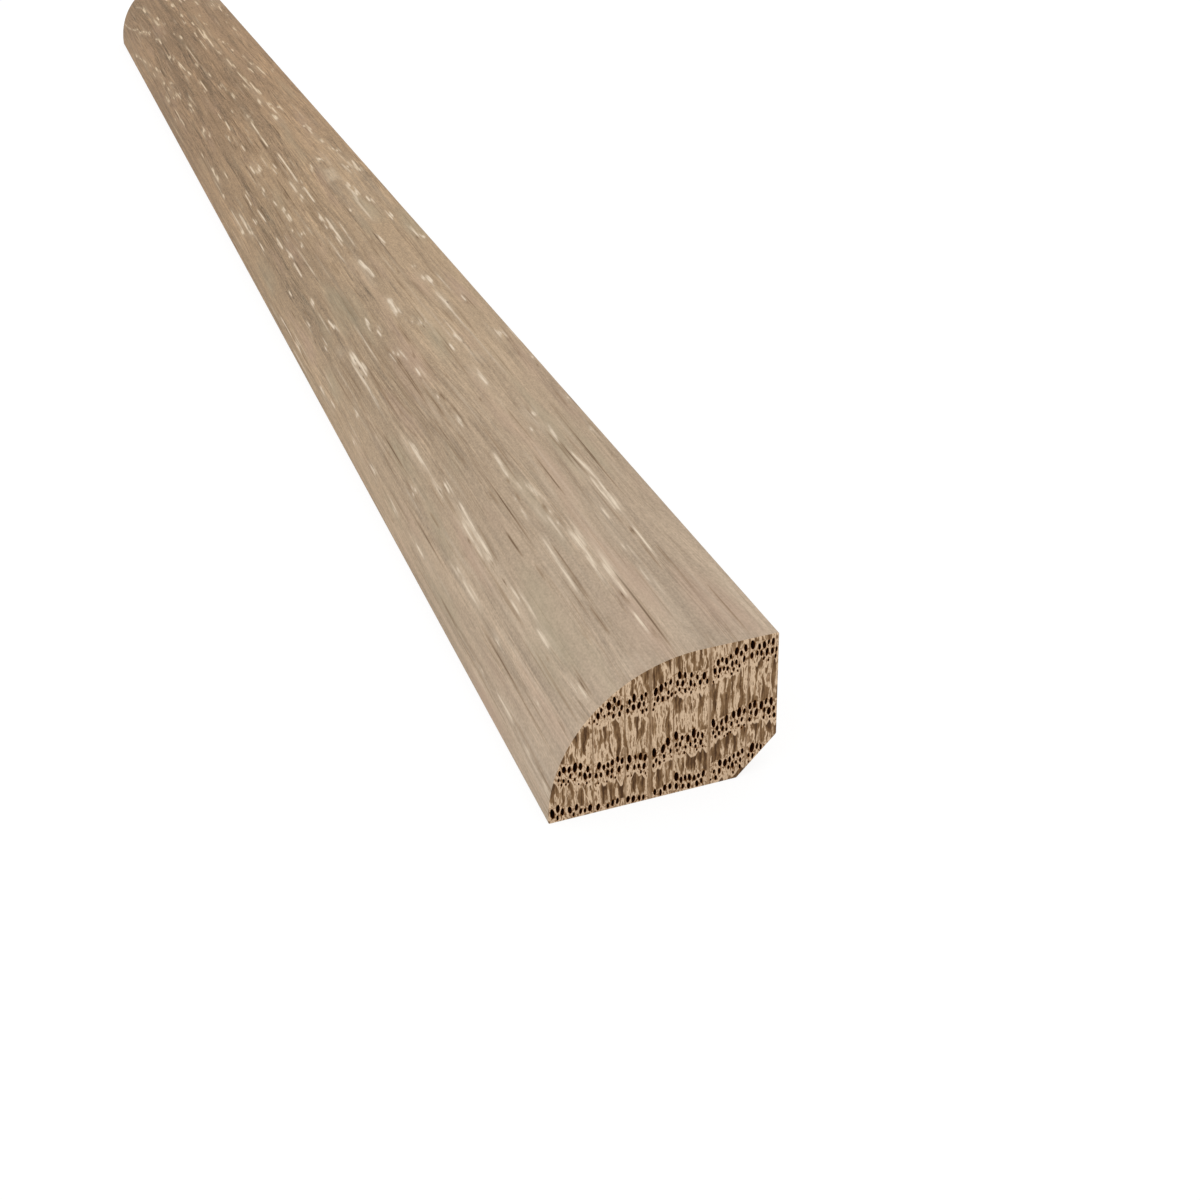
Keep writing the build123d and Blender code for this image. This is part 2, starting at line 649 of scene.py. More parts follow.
# Short threads that the brush has worn.
WORN = Strokes(
    width=0.14,
    strength=0.8,
    runs=(
        (129.5, 21.9, 120.8, 22.05), (114.2, 21.75, 110.4, 21.9), (141.7, 20.1, 138.2, 20.15),
        (136.4, 20.2, 133.9, 20.2), (130, 20.9, 127.3, 20.9), (133.6, 17.5, 130.1, 17.5),
        (128.9, 16.7, 127.9, 16.7), (126.4, 16.75, 124.8, 16.7), (123.2, 16.75, 118.9, 16.3),
        (140.1, 14.6, 128, 14.85), (126, 14.75, 122.6, 14.75), (121.4, 14.9, 120.4, 14.9),
        (135.1, 10.2, 131.4, 10.2), (136.4, 9.55, 132.6, 9.55), (127, 9.8, 124.5, 9.8),
        (122.6, 9.5, 117.6, 9.6), (111, 9.6, 109.8, 9.6), (105, 9.45, 99, 9.45), (145.9, 6.65, 145, 6.65),
        (136.5, 6.3, 133.7, 6.3), (130, 6.45, 123.6, 6.5), (122.9, 6.65, 121.7, 6.65),
        (107.3, 7.15, 105.4, 7.15), (107, 6.65, 105.3, 6.65), (147.3, 2.9, 145.1, 2.9),
        (134.3, 2.85, 133.6, 2.85), (133.9, 2.05, 132.6, 2.05), (104.2, 3.1, 101.5, 3.2),
        (112.3, 25.5, 111, 25.5), (105.1, 26, 103.7, 26), (93.7, 26, 91.3, 26), (73.7, 24.2, 71.2, 24.2),
        (73, 22.1, 72.2, 22.1), (64.5, 21.65, 63.3, 21.65), (60.2, 21.85, 59.2, 21.85),
        (98, 19.55, 94, 19.45), (77.6, 17.8, 76.7, 17.45), (69.5, 16.6, 68.3, 16.6),
        (72.4, 16.25, 71.9, 16.25), (96.7, 14.5, 95.7, 14.5), (82.7, 13.65, 81.7, 13.6),
        (82.3, 13.35, 80.7, 13.3), (76, 13.25, 73.3, 13.2), (75.3, 8.8, 74.2, 8.8), (66.3, 6.6, 63.7, 6.6),
        (57, 6.3, 54.3, 6.2), (84, 5.7, 82, 5.65), (94.7, 3.4, 92, 3.4), (85.3, 2.8, 84, 2.8),
        (75.3, 2.95, 72, 2.85), (55, 2.4, 52, 2.3), (49.7, 2.2, 40.7, 2.25), (49.3, 25.1, 43.3, 25.1),
        (27.8, 21.9, 26.8, 21.95), (26.3, 22.1, 25, 22.1), (35, 19.5, 32.7, 19.5), (16, 25, 15, 25),
        (14, 23.8, 12.7, 23.7), (38, 15.4, 36, 15.4), (34.3, 15.4, 32, 15.4), (23.3, 15.1, 20.7, 15.1),
        (12.3, 18.9, 9.3, 18.95), (34.2, 12.2, 33.5, 12.2), (38.3, 11.25, 36.7, 11.25),
        (31, 11.4, 29.7, 11.4), (23, 12.1, 20.7, 12.1), (19.3, 11.55, 15.3, 11.4), (11, 11.15, 7.7, 11.15),
        (37.3, 9.05, 35.3, 9), (16.7, 7.3, 12.3, 7.2), (16, 5.9, 13.5, 5.3), (14.3, 5.45, 4, 5.5),
        (4.5, 24.15, 3.3, 24.15), (3.3, 23.75, 1.7, 23.7), (-1.2, 23.1, -3, 23), (-6.7, 22.65, -11.3, 22.6),
        (-27.3, 19.9, -29.7, 19.9), (-35.3, 19.9, -40.3, 19.9), (-30, 18.75, -33.3, 18.75),
        (-41.7, 18.3, -46, 18.3), (6, 14.5, 2.3, 14.4), (-23.7, 15.5, -26.3, 15.55),
        (-37, 15.5, -42.3, 15.5), (-31, 13.95, -33.7, 13.95), (3, 12.3, -0.7, 12.2),
        (-21.7, 11.15, -23.3, 11.1), (-32.3, 11.75, -37.3, 11.75), (1.3, 11.4, -4, 11.35),
        (6, 8.3, 2.7, 8.3), (-31, 8.35, -33.7, 8.35), (-9, 7.15, -13.7, 7.15), (-14.3, 5.3, -17, 5.35),
        (-19.3, 5.5, -21.7, 5.5), (-30, 5, -33.3, 5.1), (-52.3, 25, -54.3, 25), (-58.7, 22.1, -60.7, 22.1),
        (-54.3, 21.05, -57, 21.05), (-65, 21.7, -66.3, 21.7), (-77.7, 20.5, -79, 20.5),
        (-82.5, 20, -84, 20), (-58.7, 18.75, -66.7, 18.7), (-69.3, 18.4, -74, 18.4), (-76, 16.7, -88, 16.7),
        (-45, 15.15, -46.8, 15.2), (-48.3, 14.9, -50.7, 14.9), (-69.3, 13.9, -90, 13.85),
        (-68.7, 13.5, -73, 13.4), (-85.3, 10.45, -87.7, 10.45), (-50.7, 8.25, -52.3, 8.25),
        (-53.3, 8.3, -57.3, 8.05), (-64.7, 7.7, -67.8, 7.7), (-74.7, 7.65, -79, 7.2),
        (-67, 6.85, -70.3, 6.85), (-68.7, 6.15, -71.3, 5.9), (-76.3, 6.05, -79, 6.05),
        (-52.3, 4.95, -58.7, 4.9), (-58.7, 4.9, -67, 4.8), (-73.3, 4.5, -75.3, 4.45),
        (-76.3, 4.4, -79, 4.4), (-62.7, 3.65, -64.7, 3.6), (-90, 24.1, -93.3, 24.2),
        (-98, 23.9, -99.7, 23.9), (-117, 23.8, -118.7, 23.8), (-105, 25.2, -107, 25.3),
        (-119.3, 21.15, -125, 21.2), (-98.5, 19.6, -101, 19.6), (-107.3, 19.8, -109, 19.85),
        (-90, 18.35, -95, 18.35), (-103.7, 16.45, -106, 16.5), (-100.3, 13.3, -102.3, 13.3),
        (-112.7, 12.95, -114.5, 12.9), (-115.7, 11.65, -121, 11.6), (-107.7, 9.8, -110.7, 9.4),
        (-117.3, 9.25, -120, 9.25), (-121, 8.55, -122.7, 8.5), (-123.3, 8.25, -125.8, 7.95),
        (-126.7, 7.3, -130, 7), (-131, 7.15, -133.3, 6.9), (-133, 6.6, -139, 5.7), (-109.3, 4.4, -115, 3.9),
        (-117.3, 3.55, -121, 3), (-123.7, 2.7, -127, 2.4), (-93.7, 4.65, -99.7, 4.65),
        (-103, 4.9, -105.3, 4.8), (-90, 6.5, -92.7, 6.5), (-139, 5.6, -146, 4.9), (-145, 4.9, -152, 4.6),
        (-140, 10.7, -147, 9.4), (-138, 14.1, -148, 13.4),
    ),
)
# Haze of lime about the others.
MIST = Strokes(
    width=0.7,
    strength=0.34,
    runs=(
        (131, 22, 116, 21.9), (112, 21.4, 104, 20.9), (136, 20.4, 124, 20.7), (152, 20.1, 140, 20.1),
        (142, 17.4, 128, 17.2), (140, 14.4, 128, 14.6), (152, 14.55, 149, 14.55), (142, 9.9, 110, 9.9),
        (132, 6.2, 120, 6.5), (118.9, 3.7, 108, 3.5), (107, 9.3, 96, 9.3), (84, 9.1, 70, 9.2),
        (99, 19.5, 92, 19), (92, 20.8, 88, 20.6), (76, 22, 68, 21.9), (67, 22, 61, 21.6),
        (74, 16.3, 66, 16.3), (64, 16, 50, 15.9), (72, 8.1, 68, 7.9), (96, 6.4, 90, 6.3),
        (96, 3.2, 90, 3.3), (76, 2.6, 66, 2.1), (20, 20.6, 12, 20.9), (22, 15, 12, 15.3), (18, 5.6, 2, 5.4),
        (12, 4.1, -2, 4.5), (0, 22.9, -8, 22.6), (-12, 19.3, -24, 19.1), (-28, 18.9, -44, 18.9),
        (3, 11.7, -5, 11.6), (-10, 5.2, -24, 5.4), (-34, 8, -40, 7.8), (-50, 22.6, -62, 22),
        (-56, 18.6, -68, 18.6), (-74, 18.2, -92, 17.9), (-66, 6.6, -80, 6), (-82, 6.2, -98, 5.4),
        (-72, 4.4, -80, 4.3), (-112, 23.6, -122, 23.2), (-112, 11.9, -124, 11.7), (-118, 8.9, -128, 7.4),
        (-130, 11.1, -142, 10.8), (-104, 5, -118, 3.6), (-120, 3.3, -134, 1.6), (42, 19.9, 4, 20.1),
        (42, 21.6, 0, 21.5), (40, 23.3, -2, 23.2), (38, 24.9, 4, 24.8), (-112, 24.5, -138, 24.3),
        (-114, 25.7, -140, 25.5),
    ),
)
# Open slits, drawn as painted shade.
SLIT_SHADES = Strokes(
    width=0.12,
    strength=1.0,
    runs=(
        (144.3, 17.6, 142.6, 17.55), (142.6, 17.5, 140.8, 17.4), (125.4, 16.6, 124, 16.5),
        (118.6, 15.4, 117.3, 15.3), (130.6, 10, 129.7, 10), (133.2, 21.8, 131.7, 21.8),
        (110.6, 20.3, 110, 20.3), (143, 2.95, 142.4, 2.95), (129.2, 16.2, 128.7, 16.2),
        (95.3, 25.8, 94.8, 25.8), (74.5, 24.15, 72.8, 24.15), (73.6, 22.1, 73, 22.1),
        (66, 22.05, 65.3, 22.05), (100.1, 20.95, 99.6, 20.95), (85.7, 20.4, 85, 20.45),
        (100.7, 17.9, 100.2, 17.9), (79, 17.8, 77.8, 17.8), (58.3, 15.3, 54.7, 15.3),
        (90.8, 14.15, 89.3, 14.2), (84.5, 13.3, 83.3, 13.3), (73.5, 12.75, 72.7, 12.75),
        (76.3, 9.1, 74, 9.1), (80.1, 8.95, 79.6, 8.95), (77.8, 9.05, 77.3, 9.05), (65.3, 8.95, 64.2, 8.95),
        (51, 20.5, 50, 20.5), (49.3, 15.85, 48, 15.85), (49.4, 24.8, 48.6, 24.8), (5.3, 23.8, 4.3, 23.7),
        (-16.5, 10.65, -17.8, 10.6), (-15, 11.15, -17.3, 11.15), (-18.7, 7, -20.7, 7),
        (-18.3, 6.5, -20.7, 6.5), (-56.7, 18.5, -58.7, 18.5), (-3.3, 10.85, -5.3, 10.85),
        (-49.7, 1.7, -51.3, 1.7), (-55.3, 14.85, -61, 14.75), (61.3, 19.5, 60.2, 19.5),
        (60.3, 5.75, 59.5, 5.75), (-10.3, 12.5, -12.7, 12.45), (122, 9.2, 121.2, 9.2),
        (144, 9.5, 142.5, 9.5), (19, 9.2, 13, 9.15), (-69.7, 20.6, -70.9, 20.6),
    ),
)
# Dark lines of the grain.
LINES = Strokes(
    width=0.18,
    strength=0.72,
    runs=(
        (152, 5.25, 126, 5.95), (122.6, 5.15, 109.5, 5.45), (152, 3.3, 139.5, 3.4),
        (127.3, 2.6, 120.4, 2.8), (124.2, 18.75, 114.5, 18.75), (113.9, 19.75, 102, 19.5),
        (146.7, 14.7, 141, 14.7), (141.4, 14.95, 129.5, 15.2), (135, 13, 132, 13), (130, 12.55, 125, 12.5),
        (120, 13, 116, 13), (120, 23.7, 103, 23.9), (152, 18, 136, 18.1), (104, 15.15, 98, 15.1),
        (99, 19.9, 94, 19.85), (95.3, 18.4, 82.7, 18.4), (82.7, 18.4, 72.7, 18.35), (72.7, 18.6, 54, 18.75),
        (84.3, 22.5, 71, 22.7), (71.3, 20.2, 63.7, 20.2), (98.3, 14.95, 94.8, 14.95),
        (92.7, 15.55, 84.7, 15.55), (82, 15.45, 74.7, 15.5), (96, 9.9, 72, 9.85), (88.3, 6.4, 86, 6.4),
        (80.7, 6.35, 76.7, 6.35), (71, 5.5, 58, 5.5), (102, 7.2, 92, 7.5), (62, 17.3, 56, 17.3),
        (54, 18.75, 49, 18.75), (43, 18.3, 41, 18.3), (38, 10.55, 28, 10.8), (28, 10.95, 14, 11.05),
        (20.3, 13.35, 15.5, 13.35), (9.7, 14, 7.3, 14), (35, 24.2, 28, 24.2), (45, 9.3, 36, 9.35),
        (25, 6.35, 20, 6.3), (50, 4.8, 46, 4.8), (52, 2.5, 34, 2.4), (6, 19.6, -0.7, 19.6),
        (0.7, 16.6, -4, 16.6), (-4, 14.9, -11.3, 14.9), (-7.3, 18, -17.3, 18), (-25.7, 18, -32, 18),
        (-35.3, 17.75, -44, 17.75), (6, 10.85, -6.3, 10.85), (-19, 11.4, -23.3, 11.6),
        (-39, 11.9, -50, 11.9), (-18, 8.25, -31.7, 8.75), (-10.7, 3.75, -23, 4.25),
        (-22.7, 14.75, -30, 14.7), (-28, 5.4, -34, 5.4), (-36, 15.1, -44, 15.1),
        (-54.3, 21.55, -63.7, 21.55), (-72, 16.15, -88.7, 16.2), (-85.7, 17.25, -96, 17.2),
        (-65.3, 14.3, -80, 14.3), (-80, 14.2, -88.7, 14.2), (-52, 12.7, -60.3, 12.65),
        (-64, 13.1, -74, 13.15), (-55, 4.5, -66.7, 4.5), (-78, 12.9, -90, 12.9), (-107.3, 16.2, -120, 16.2),
        (-94, 14.45, -98.5, 14.45), (-114, 11.2, -120.7, 11.2), (-115.7, 19.65, -118.7, 19.7),
        (-119.5, 12.65, -123.5, 12.65), (-128, 10.35, -142, 10.3), (-136, 4.5, -148, 4.4),
        (-96, 9.6, -104, 9.6), (-84, 6.8, -92, 6.8), (-93, 6.35, -98, 6.35), (-121, 17, -127, 17),
        (-126, 7.55, -136, 7.4),
    ),
)
# Broad dark bands of the grain.
BANDS = Strokes(
    width=0.5,
    strength=0.5,
    runs=(
        (70, 12.15, 54, 12.3), (56, 12.3, 30, 12.3), (54, 13.4, 48, 13.4), (46, 9.8, 36, 9.8),
        (86, 12, 70, 11.6), (104, 11.9, 84, 11.9), (96, 3.4, 88, 3.3), (80, 2.6, 70, 2.5),
        (20, 14.7, -6, 14.8), (-14, 10.5, -44, 10.6), (-2, 13.3, -30, 13.4), (-40, 16.2, -76, 16.1),
        (-36, 14.9, -46, 14.8), (-50, 12.9, -70, 12.9), (-86, 11.8, -112, 11.4), (-100, 15.6, -126, 15.4),
        (-64, 9.3, -90, 9.5), (-100, 8.6, -130, 6.9), (118, 16.4, 100, 16.2), (130, 13.8, 104, 13.8),
        (124, 11.4, 100, 11.3), (30, 7.6, 0, 7.8), (-20, 17.9, -60, 17.6), (-66, 21.9, -84, 21.6),
        (-96, 21.6, -116, 21.8), (60, 23.4, 34, 23.6),
    ),
)


@dataclass(frozen=True)
class Companion:
    """Small streak that is drawn beside a placed one, in millimetres.

    Attributes:
        spread: How far along it may lie, as a share of the placed one's reach.
        aside: Nearest and farthest that it may lie from its line.
        reach: Least and greatest half of its length.
        width: Least and greatest width, and nothing is drawn where they are alike.
        strength: Least and greatest strength, from 0 to 1.
        chance: Share of the placed streaks that have one.
        outruns: Whether the placed one's reach is added to its own.
    """

    spread: float
    aside: tuple[float, float]
    reach: tuple[float, float]
    width: tuple[float, float]
    strength: tuple[float, float]
    chance: float = 1.0
    outruns: bool = False

    def beside(self, main: Streak, draw: random.Random) -> Streak:
        """Draws one.

        Args:
            main: The placed streak.
            draw: Source of the random draws.

        Returns:
            The small streak.
        """
        along = main.along + draw.uniform(-self.spread, self.spread) * main.reach
        around = main.around + draw.choice((-1, 1)) * draw.uniform(*self.aside)
        reach = draw.uniform(*self.reach) + (main.reach if self.outruns else 0.0)
        thin, wide = self.width
        width = draw.uniform(thin, wide) if thin < wide else wide
        return Streak(along, around, main.climb, reach, width, draw.uniform(*self.strength))


@dataclass(frozen=True)
class Strewn:
    """Faint streaks of one kind, strewn over the shown faces, in millimetres.

    Attributes:
        count: Number of them.
        width: Greatest width.
        strength: Greatest strength, from 0 to 1.
        thinnest: Least width, as a share of the greatest.
        weakest: Least strength, as a share of the greatest.
        reach: Least and greatest half of their length.
        climb: Usual climb for each millimetre along.
        margin: Least distance from the toe.
    """

    count: int
    width: float
    strength: float
    thinnest: float = 0.6
    weakest: float = 0.3
    reach: tuple[float, float] = (1.5, 9.0)
    climb: float = 0.008
    margin: float = 0.5

    def streaks(self, length: float, edge: float, draw: random.Random) -> list[Streak]:
        """Draws them.

        Args:
            length: Length of the piece, in metres.
            edge: Distance of the back edge of the top from the toe, over the surface.
            draw: Source of the random draws.

        Returns:
            The streaks.
        """
        return [
            Streak(
                draw.uniform(-0.5, 0.5) * length / MM,
                draw.uniform(self.margin, edge),
                draw.gauss(0.0, self.climb),
                draw.uniform(*self.reach),
                draw.uniform(self.thinnest, 1.0) * self.width,
                draw.uniform(self.weakest, 1.0) * self.strength,
            )
            for _ in range(self.count)
        ]


@dataclass(frozen=True)
class LimedGrain:
    """Limed pores, and dark lines and painted shade beside the lime, on the front and the top.

    Attributes:
        limed: Strokes of lime.
        dark: Open slits drawn as painted shade, and dark lines.
        bold: Strength from which a placed streak of lime has small ones about it.
        fleck: Small streak of lime beside it.
        flecks: Least and greatest number of these, before it is rounded.
        painted_shadows: Slit of painted shadow beside it, and painted shade along it.
        strays: Faint streaks of lime strewn between the others.
        hairs: Faint dark lines strewn between the others.
        stretch: How much longer than wide a streak's surroundings are looked up.
        gone: Distance from its line at which a streak is gone, in widths.
    """

    limed: tuple[Strokes, ...] = (THREADS, POOLS, WORN, MIST)
    dark: tuple[Strokes, ...] = (SLIT_SHADES, LINES, BANDS)
    bold: float = 0.5
    fleck: Companion = Companion(1.1, (0.2, 0.42), (0.9, 3.2), (0.11, 0.16), (0.4, 0.75))
    flecks: tuple[float, float] = (0.2, 1.9)
    # Painted shadows: a dark slit beside a bold streak of lime, and painted shade along it.
    painted_shadows: tuple[Companion, ...] = (
        Companion(0.9, (0.16, 0.26), (0.6, 1.1), (0.12, 0.12), (0.4, 0.8), chance=0.5),
        Companion(0.6, (0.24, 0.4), (0.5, 3.0), (0.22, 0.22), (0.3, 0.6), chance=0.7, outruns=True),
    )
    strays: Strewn = Strewn(260, 0.2, 0.55)
    hairs: Strewn = Strewn(380, 0.18, 0.7)
    stretch: float = 8.0
    gone: float = 2.5

    def streaks(self, section: Section, length: float, seed: int) -> tuple[list[Streak], list[Streak]]:
        """Lists the placed streaks, and draws the small ones about and between them.

        Args:
            section: The milled section.
            length: Length of the piece, in metres.
            seed: Start of the random draws.

        Returns:
            The streaks of lime, and the dark ones.
        """
        draw = random.Random(seed)
        limed = [s for strokes in self.limed for s in strokes.streaks()]
        dark = [s for strokes in self.dark for s in strokes.streaks()]
        for main in [s for s in limed if s.strength > self.bold]:
            count = round(draw.uniform(*self.flecks))
            limed += [self.fleck.beside(main, draw) for _ in range(count)]
            # Some bold streaks of lime get painted shadows beside and along them.
            for kind in self.painted_shadows:
                if draw.random() < kind.chance:
                    dark.append(kind.beside(main, draw))
        edge = section.around(section.width / 2, section.height) / MM
        for found, strewn in ((limed, self.strays), (dark, self.hairs)):
            found += strewn.streaks(length, edge, draw)
        return limed, dark


@dataclass
class ShoeMoulding:
    """The whole piece: one length of oak with its sawn, pored ends and its grain relief.

    Attributes:
        section: The milled section.
        length: Length of the piece, in metres.
        rings: Lie of the rings and rays.
        grain: Lie of the limed pores.
        arris: How far the sharp edges are eased, in metres.
        end_ease: How far the edges round the ends are eased inwards, in metres.
        crease: Angle from which a long edge is sharp, in radians.
        nose_steps: Number of flats that the quarter circle is made of.
        top_steps: Number of strips across the flat top.
        back_steps: Number of strips up the back.
        relief_steps: Number of strips across the relief.
        base_steps: Number of strips across the base.
        slices: Number of slices along the length.
        pore_sides: Number of sides of a pore.
        rim: Width of the pale wall round a pore, in metres.
        pore_depth: Depth of an open pore, in metres.
        taper: Size of its floor, as a share of its mouth.
        relief_depth: Depth of the brushed grain, in metres.
        fade: Distance over which that depth fades out towards each end, in metres.
        end_seeds: Side of each end, 1 for the one towards +X, and the start of its draws.
        grain_seed: Start of the grain's draws.
        layers: Values kept with each corner of the mesh, by their names.
    """

    section: Section
    length: float
    rings: GrowthRings = field(default_factory=GrowthRings)
    grain: LimedGrain = field(default_factory=LimedGrain)
    arris: float = 0.08 * MM
    end_ease: float = 0.05 * MM
    crease: float = 0.5
    nose_steps: int = 200
    top_steps: int = 64
    back_steps: int = 6
    relief_steps: int = 3
    base_steps: int = 10
    slices: int = 265
    pore_sides: int = 10
    rim: float = 0.03 * MM
    pore_depth: float = 0.9 * MM
    taper: float = 0.8
    relief_depth: float = 0.06 * MM
    fade: float = 2 * MM
    end_seeds: tuple[tuple[int, int], ...] = ((1, 11), (-1, 29))
    grain_seed: int = 5
    layers: dict[str, bmesh.types.BMLayerItem] = field(default_factory=dict)

    def build(self) -> bpy.types.Object:
        """Models the piece.

        Returns:
            The finished object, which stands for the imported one.
        """
        bm = bmesh.new()
        for name in ("rim", "around", "lime", "dark"):
            self.layers[name] = bm.verts.layers.float.new(name)
        self._mill(bm)
        for side, seed in self.end_seeds:
            self._saw(bm, side, seed)
        self._slice(bm)
        bmesh.ops.recalc_face_normals(bm, faces=bm.faces)
        bm.normal_update()
        self._mark(bm)
        self._brush(bm)
        return placed(bm, "oak_shoe_moulding")

    def dress(self, piece: bpy.types.Object, finishes: dict[Zone, bpy.types.Material]) -> None:
        """Gives each zone of the piece its finish.

        Args:
            piece: The built object.
            finishes: A material for each zone.
        """
        for zone in Zone:
            piece.data.materials.append(finishes[zone])

    def _mill(self, bm: bmesh.types.BMesh) -> None:
        """Draws the section and pulls it out to the full length, with its long arrises eased.

        Args:
            bm: Mesh that the shell is made in.
        """
        back = self.section.width / 2
        height = self.section.height
        relief = self.section.relief
        start = -self.length / 2 + self.arris
        toe = bm.verts.new((start, -back, 0))
        spun = bmesh.ops.spin(
            bm,
            geom=[toe],
            cent=(start, self.section.nose, 0),
            axis=(1, 0, 0),
            angle=-math.pi / 2,
            steps=self.nose_steps,
            use_merge=False,
        )
        last = next(e for e in spun["geom_last"] if isinstance(e, bmesh.types.BMVert))
        last.co = (start, self.section.nose, height)
        straight = []
        for y, z in ((back, height), (back, relief), (back - relief, 0)):
            grown = bmesh.ops.extrude_vert_indiv(bm, verts=[last])
            last = grown["verts"][0]
            last.co = (start, y, z)
            straight.append(grown["edges"][0])
        straight += bmesh.ops.contextual_create(bm, geom=[last, toe])["edges"]
        steps = (self.top_steps, self.back_steps, self.relief_steps, self.base_steps)
        for edge, count in zip(straight, steps):
            bmesh.ops.subdivide_edges(bm, edges=[edge], cuts=count - 1)
        pulled = bmesh.ops.extrude_edge_only(bm, edges=bm.edges[:])
        far = [v for v in pulled["geom"] if isinstance(v, bmesh.types.BMVert)]
        bmesh.ops.translate(bm, verts=far, vec=(self.length - 2 * self.arris, 0, 0))
        bmesh.ops.recalc_face_normals(bm, faces=bm.faces)
        bm.normal_update()
        sharp = [e for e in bm.edges if len(e.link_faces) == 2 and e.calc_face_angle() > self.crease]
        bmesh.ops.bevel(
            bm, geom=sharp, offset=self.arris, segments=2, profile=0.5, affect="EDGES", material=-1
        )
        bm.normal_update()
        for face in bm.faces:
            middle = face.calc_center_median()
            shown = face.normal.z > 0.3 or middle.y < self.section.nose and middle.z > self.arris
            face.material_index = Zone.SHOW if shown else Zone.BARE
            face.smooth = True

    def _saw(self, bm: bmesh.types.BMesh, side: int, seed: int) -> None:
        """Closes one end with a sawn face that has open pores.

        Args:
            bm: Mesh with the open shell.
            side: 1 for the end towards +X, -1 for the other.
            seed: Start of the end's random draws.
        """
        rim_edges = [e for e in bm.edges if e.is_boundary and e.verts[0].co.x * side > 0]
        inward = {v: v.normal.copy() for e in rim_edges for v in e.verts}
        eased = bmesh.ops.extrude_edge_only(bm, edges=rim_edges)["geom"]
        outline = [e for e in eased if isinstance(e, bmesh.types.BMEdge) and e.is_boundary]
        for vert in (v for v in eased if isinstance(v, bmesh.types.BMVert)):
            source = next(e.other_vert(vert) for e in vert.link_edges if e.other_vert(vert) in inward)
            vert.co += Vector((side, 0, 0)) * self.arris - inward[source] * self.end_ease
        pores = self.rings.pores(self.section, seed)
        loops = [outline, *(self._bore(bm, pore, side) for pore in pores)]
        sawn = self._fill(bm, loops)
        sawn += [f for f in eased if isinstance(f, bmesh.types.BMFace)]
        for face in sawn:
            face.material_index = Zone.SAWN
        gaps = sum(e.is_boundary and e.verts[0].co.x * side > 0 for e in bm.edges)
        log.info("end %+d: %d pores, %d sawn faces, %d open edges", side, len(pores), len(sawn), gaps)

    def _fill(
        self, bm: bmesh.types.BMesh, loops: list[list[bmesh.types.BMEdge]]
    ) -> list[bmesh.types.BMFace]:
        """Fills a flat outline with triangles, but for the holes in it.

        The filling operator leaves gaps among this many holes, so this joins the triangles of a
        constrained triangulation instead.

        Args:
            bm: Mesh with the edges.
            loops: Edges of the outline, and then those of each hole.

        Returns:
            The new faces.
        """
        verts: list[bmesh.types.BMVert] = []
        homes: list[int] = []
        numbers: dict[bmesh.types.BMVert, int] = {}
        edges: list[tuple[int, int]] = []
        for home, loop in enumerate(loops):
            for vert in dict.fromkeys(v for e in loop for v in e.verts):
                numbers[vert] = len(verts)
                verts.append(vert)
                homes.append(home)
            edges += [(numbers[e.verts[0]], numbers[e.verts[1]]) for e in loop]
        flat = [Vector((v.co.y, v.co.z)) / MM for v in verts]
        _, _, faces, sources, _, _ = delaunay_2d_cdt(flat, edges, [], 1, 1e-6)
        made = []
        for face in faces:
            corners = [sources[i][0] for i in face]
            home = {homes[i] for i in corners}
            if len(home) > 1 or home == {0}:
                made.append(bm.faces.new([verts[i] for i in corners]))
        return made

    def _bore(self, bm: bmesh.types.BMesh, pore: Pore, side: int) -> list[bmesh.types.BMEdge]:
        """Makes one open pore, with the flat pale wall round its mouth.

        Args:
            bm: Mesh that the pore joins.
            pore: Its place and shape.
            side: 1 for the end towards +X, -1 for the other.

        Returns:
            The outer edges of the pale wall.
        """
        centre = Vector((side * self.length / 2, pore.across, pore.up))
        upright = Matrix(((0, 0, 1), (1, 0, 0), (0, 1, 0))).to_4x4()
        turn = Matrix.Translation(centre) @ Matrix.Rotation(-pore.lean, 4, "X") @ upright
        scale = Matrix.Diagonal((pore.half_width, pore.half_height, 1.0, 1.0))
        mouth = bmesh.ops.create_circle(
            bm, cap_ends=False, radius=1.0, segments=self.pore_sides, matrix=turn @ scale
        )["verts"]
        for vert in mouth:
            vert[self.layers["rim"]] = 1.0
        edges = list(dict.fromkeys(e for v in mouth for e in v.link_edges))
        grown = bmesh.ops.extrude_edge_only(bm, edges=edges)["geom"]
        for vert in (v for v in grown if isinstance(v, bmesh.types.BMVert)):
            vert[self.layers["rim"]] = 0.0
            vert.co += (vert.co - centre).normalized() * self.rim
        for face in (f for f in grown if isinstance(f, bmesh.types.BMFace)):
            face.material_index = Zone.SAWN
        outer = [e for e in grown if isinstance(e, bmesh.types.BMEdge) and e.is_boundary]
        sunk = bmesh.ops.extrude_edge_only(bm, edges=edges)["geom"]
        for vert in (v for v in sunk if isinstance(v, bmesh.types.BMVert)):
            vert.co = centre + (vert.co - centre) * self.taper - Vector((side * self.pore_depth, 0, 0))
        inside = [f for f in sunk if isinstance(f, bmesh.types.BMFace)]
        floor = [e for e in sunk if isinstance(e, bmesh.types.BMEdge) and e.is_boundary]
        inside += bmesh.ops.edgeloop_fill(bm, edges=floor)["faces"]
        # The pore's wall and floor take the vessel finish, whose colours paint its shade.
        for face in inside:
            face.material_index = Zone.VESSEL
        return [e for e in outer if e.verts[0][self.layers["rim"]] == 0.0]

    def _slice(self, bm: bmesh.types.BMesh) -> None:
        """Cuts the long faces of the shell into slices, so that its grain can be brushed out.

        Args:
            bm: Closed mesh.
        """
        long_edges = [e for e in bm.edges if e.calc_length() > self.length / 2]
        bmesh.ops.subdivide_edges(bm, edges=long_edges, cuts=self.slices - 1, use_grid_fill=True)

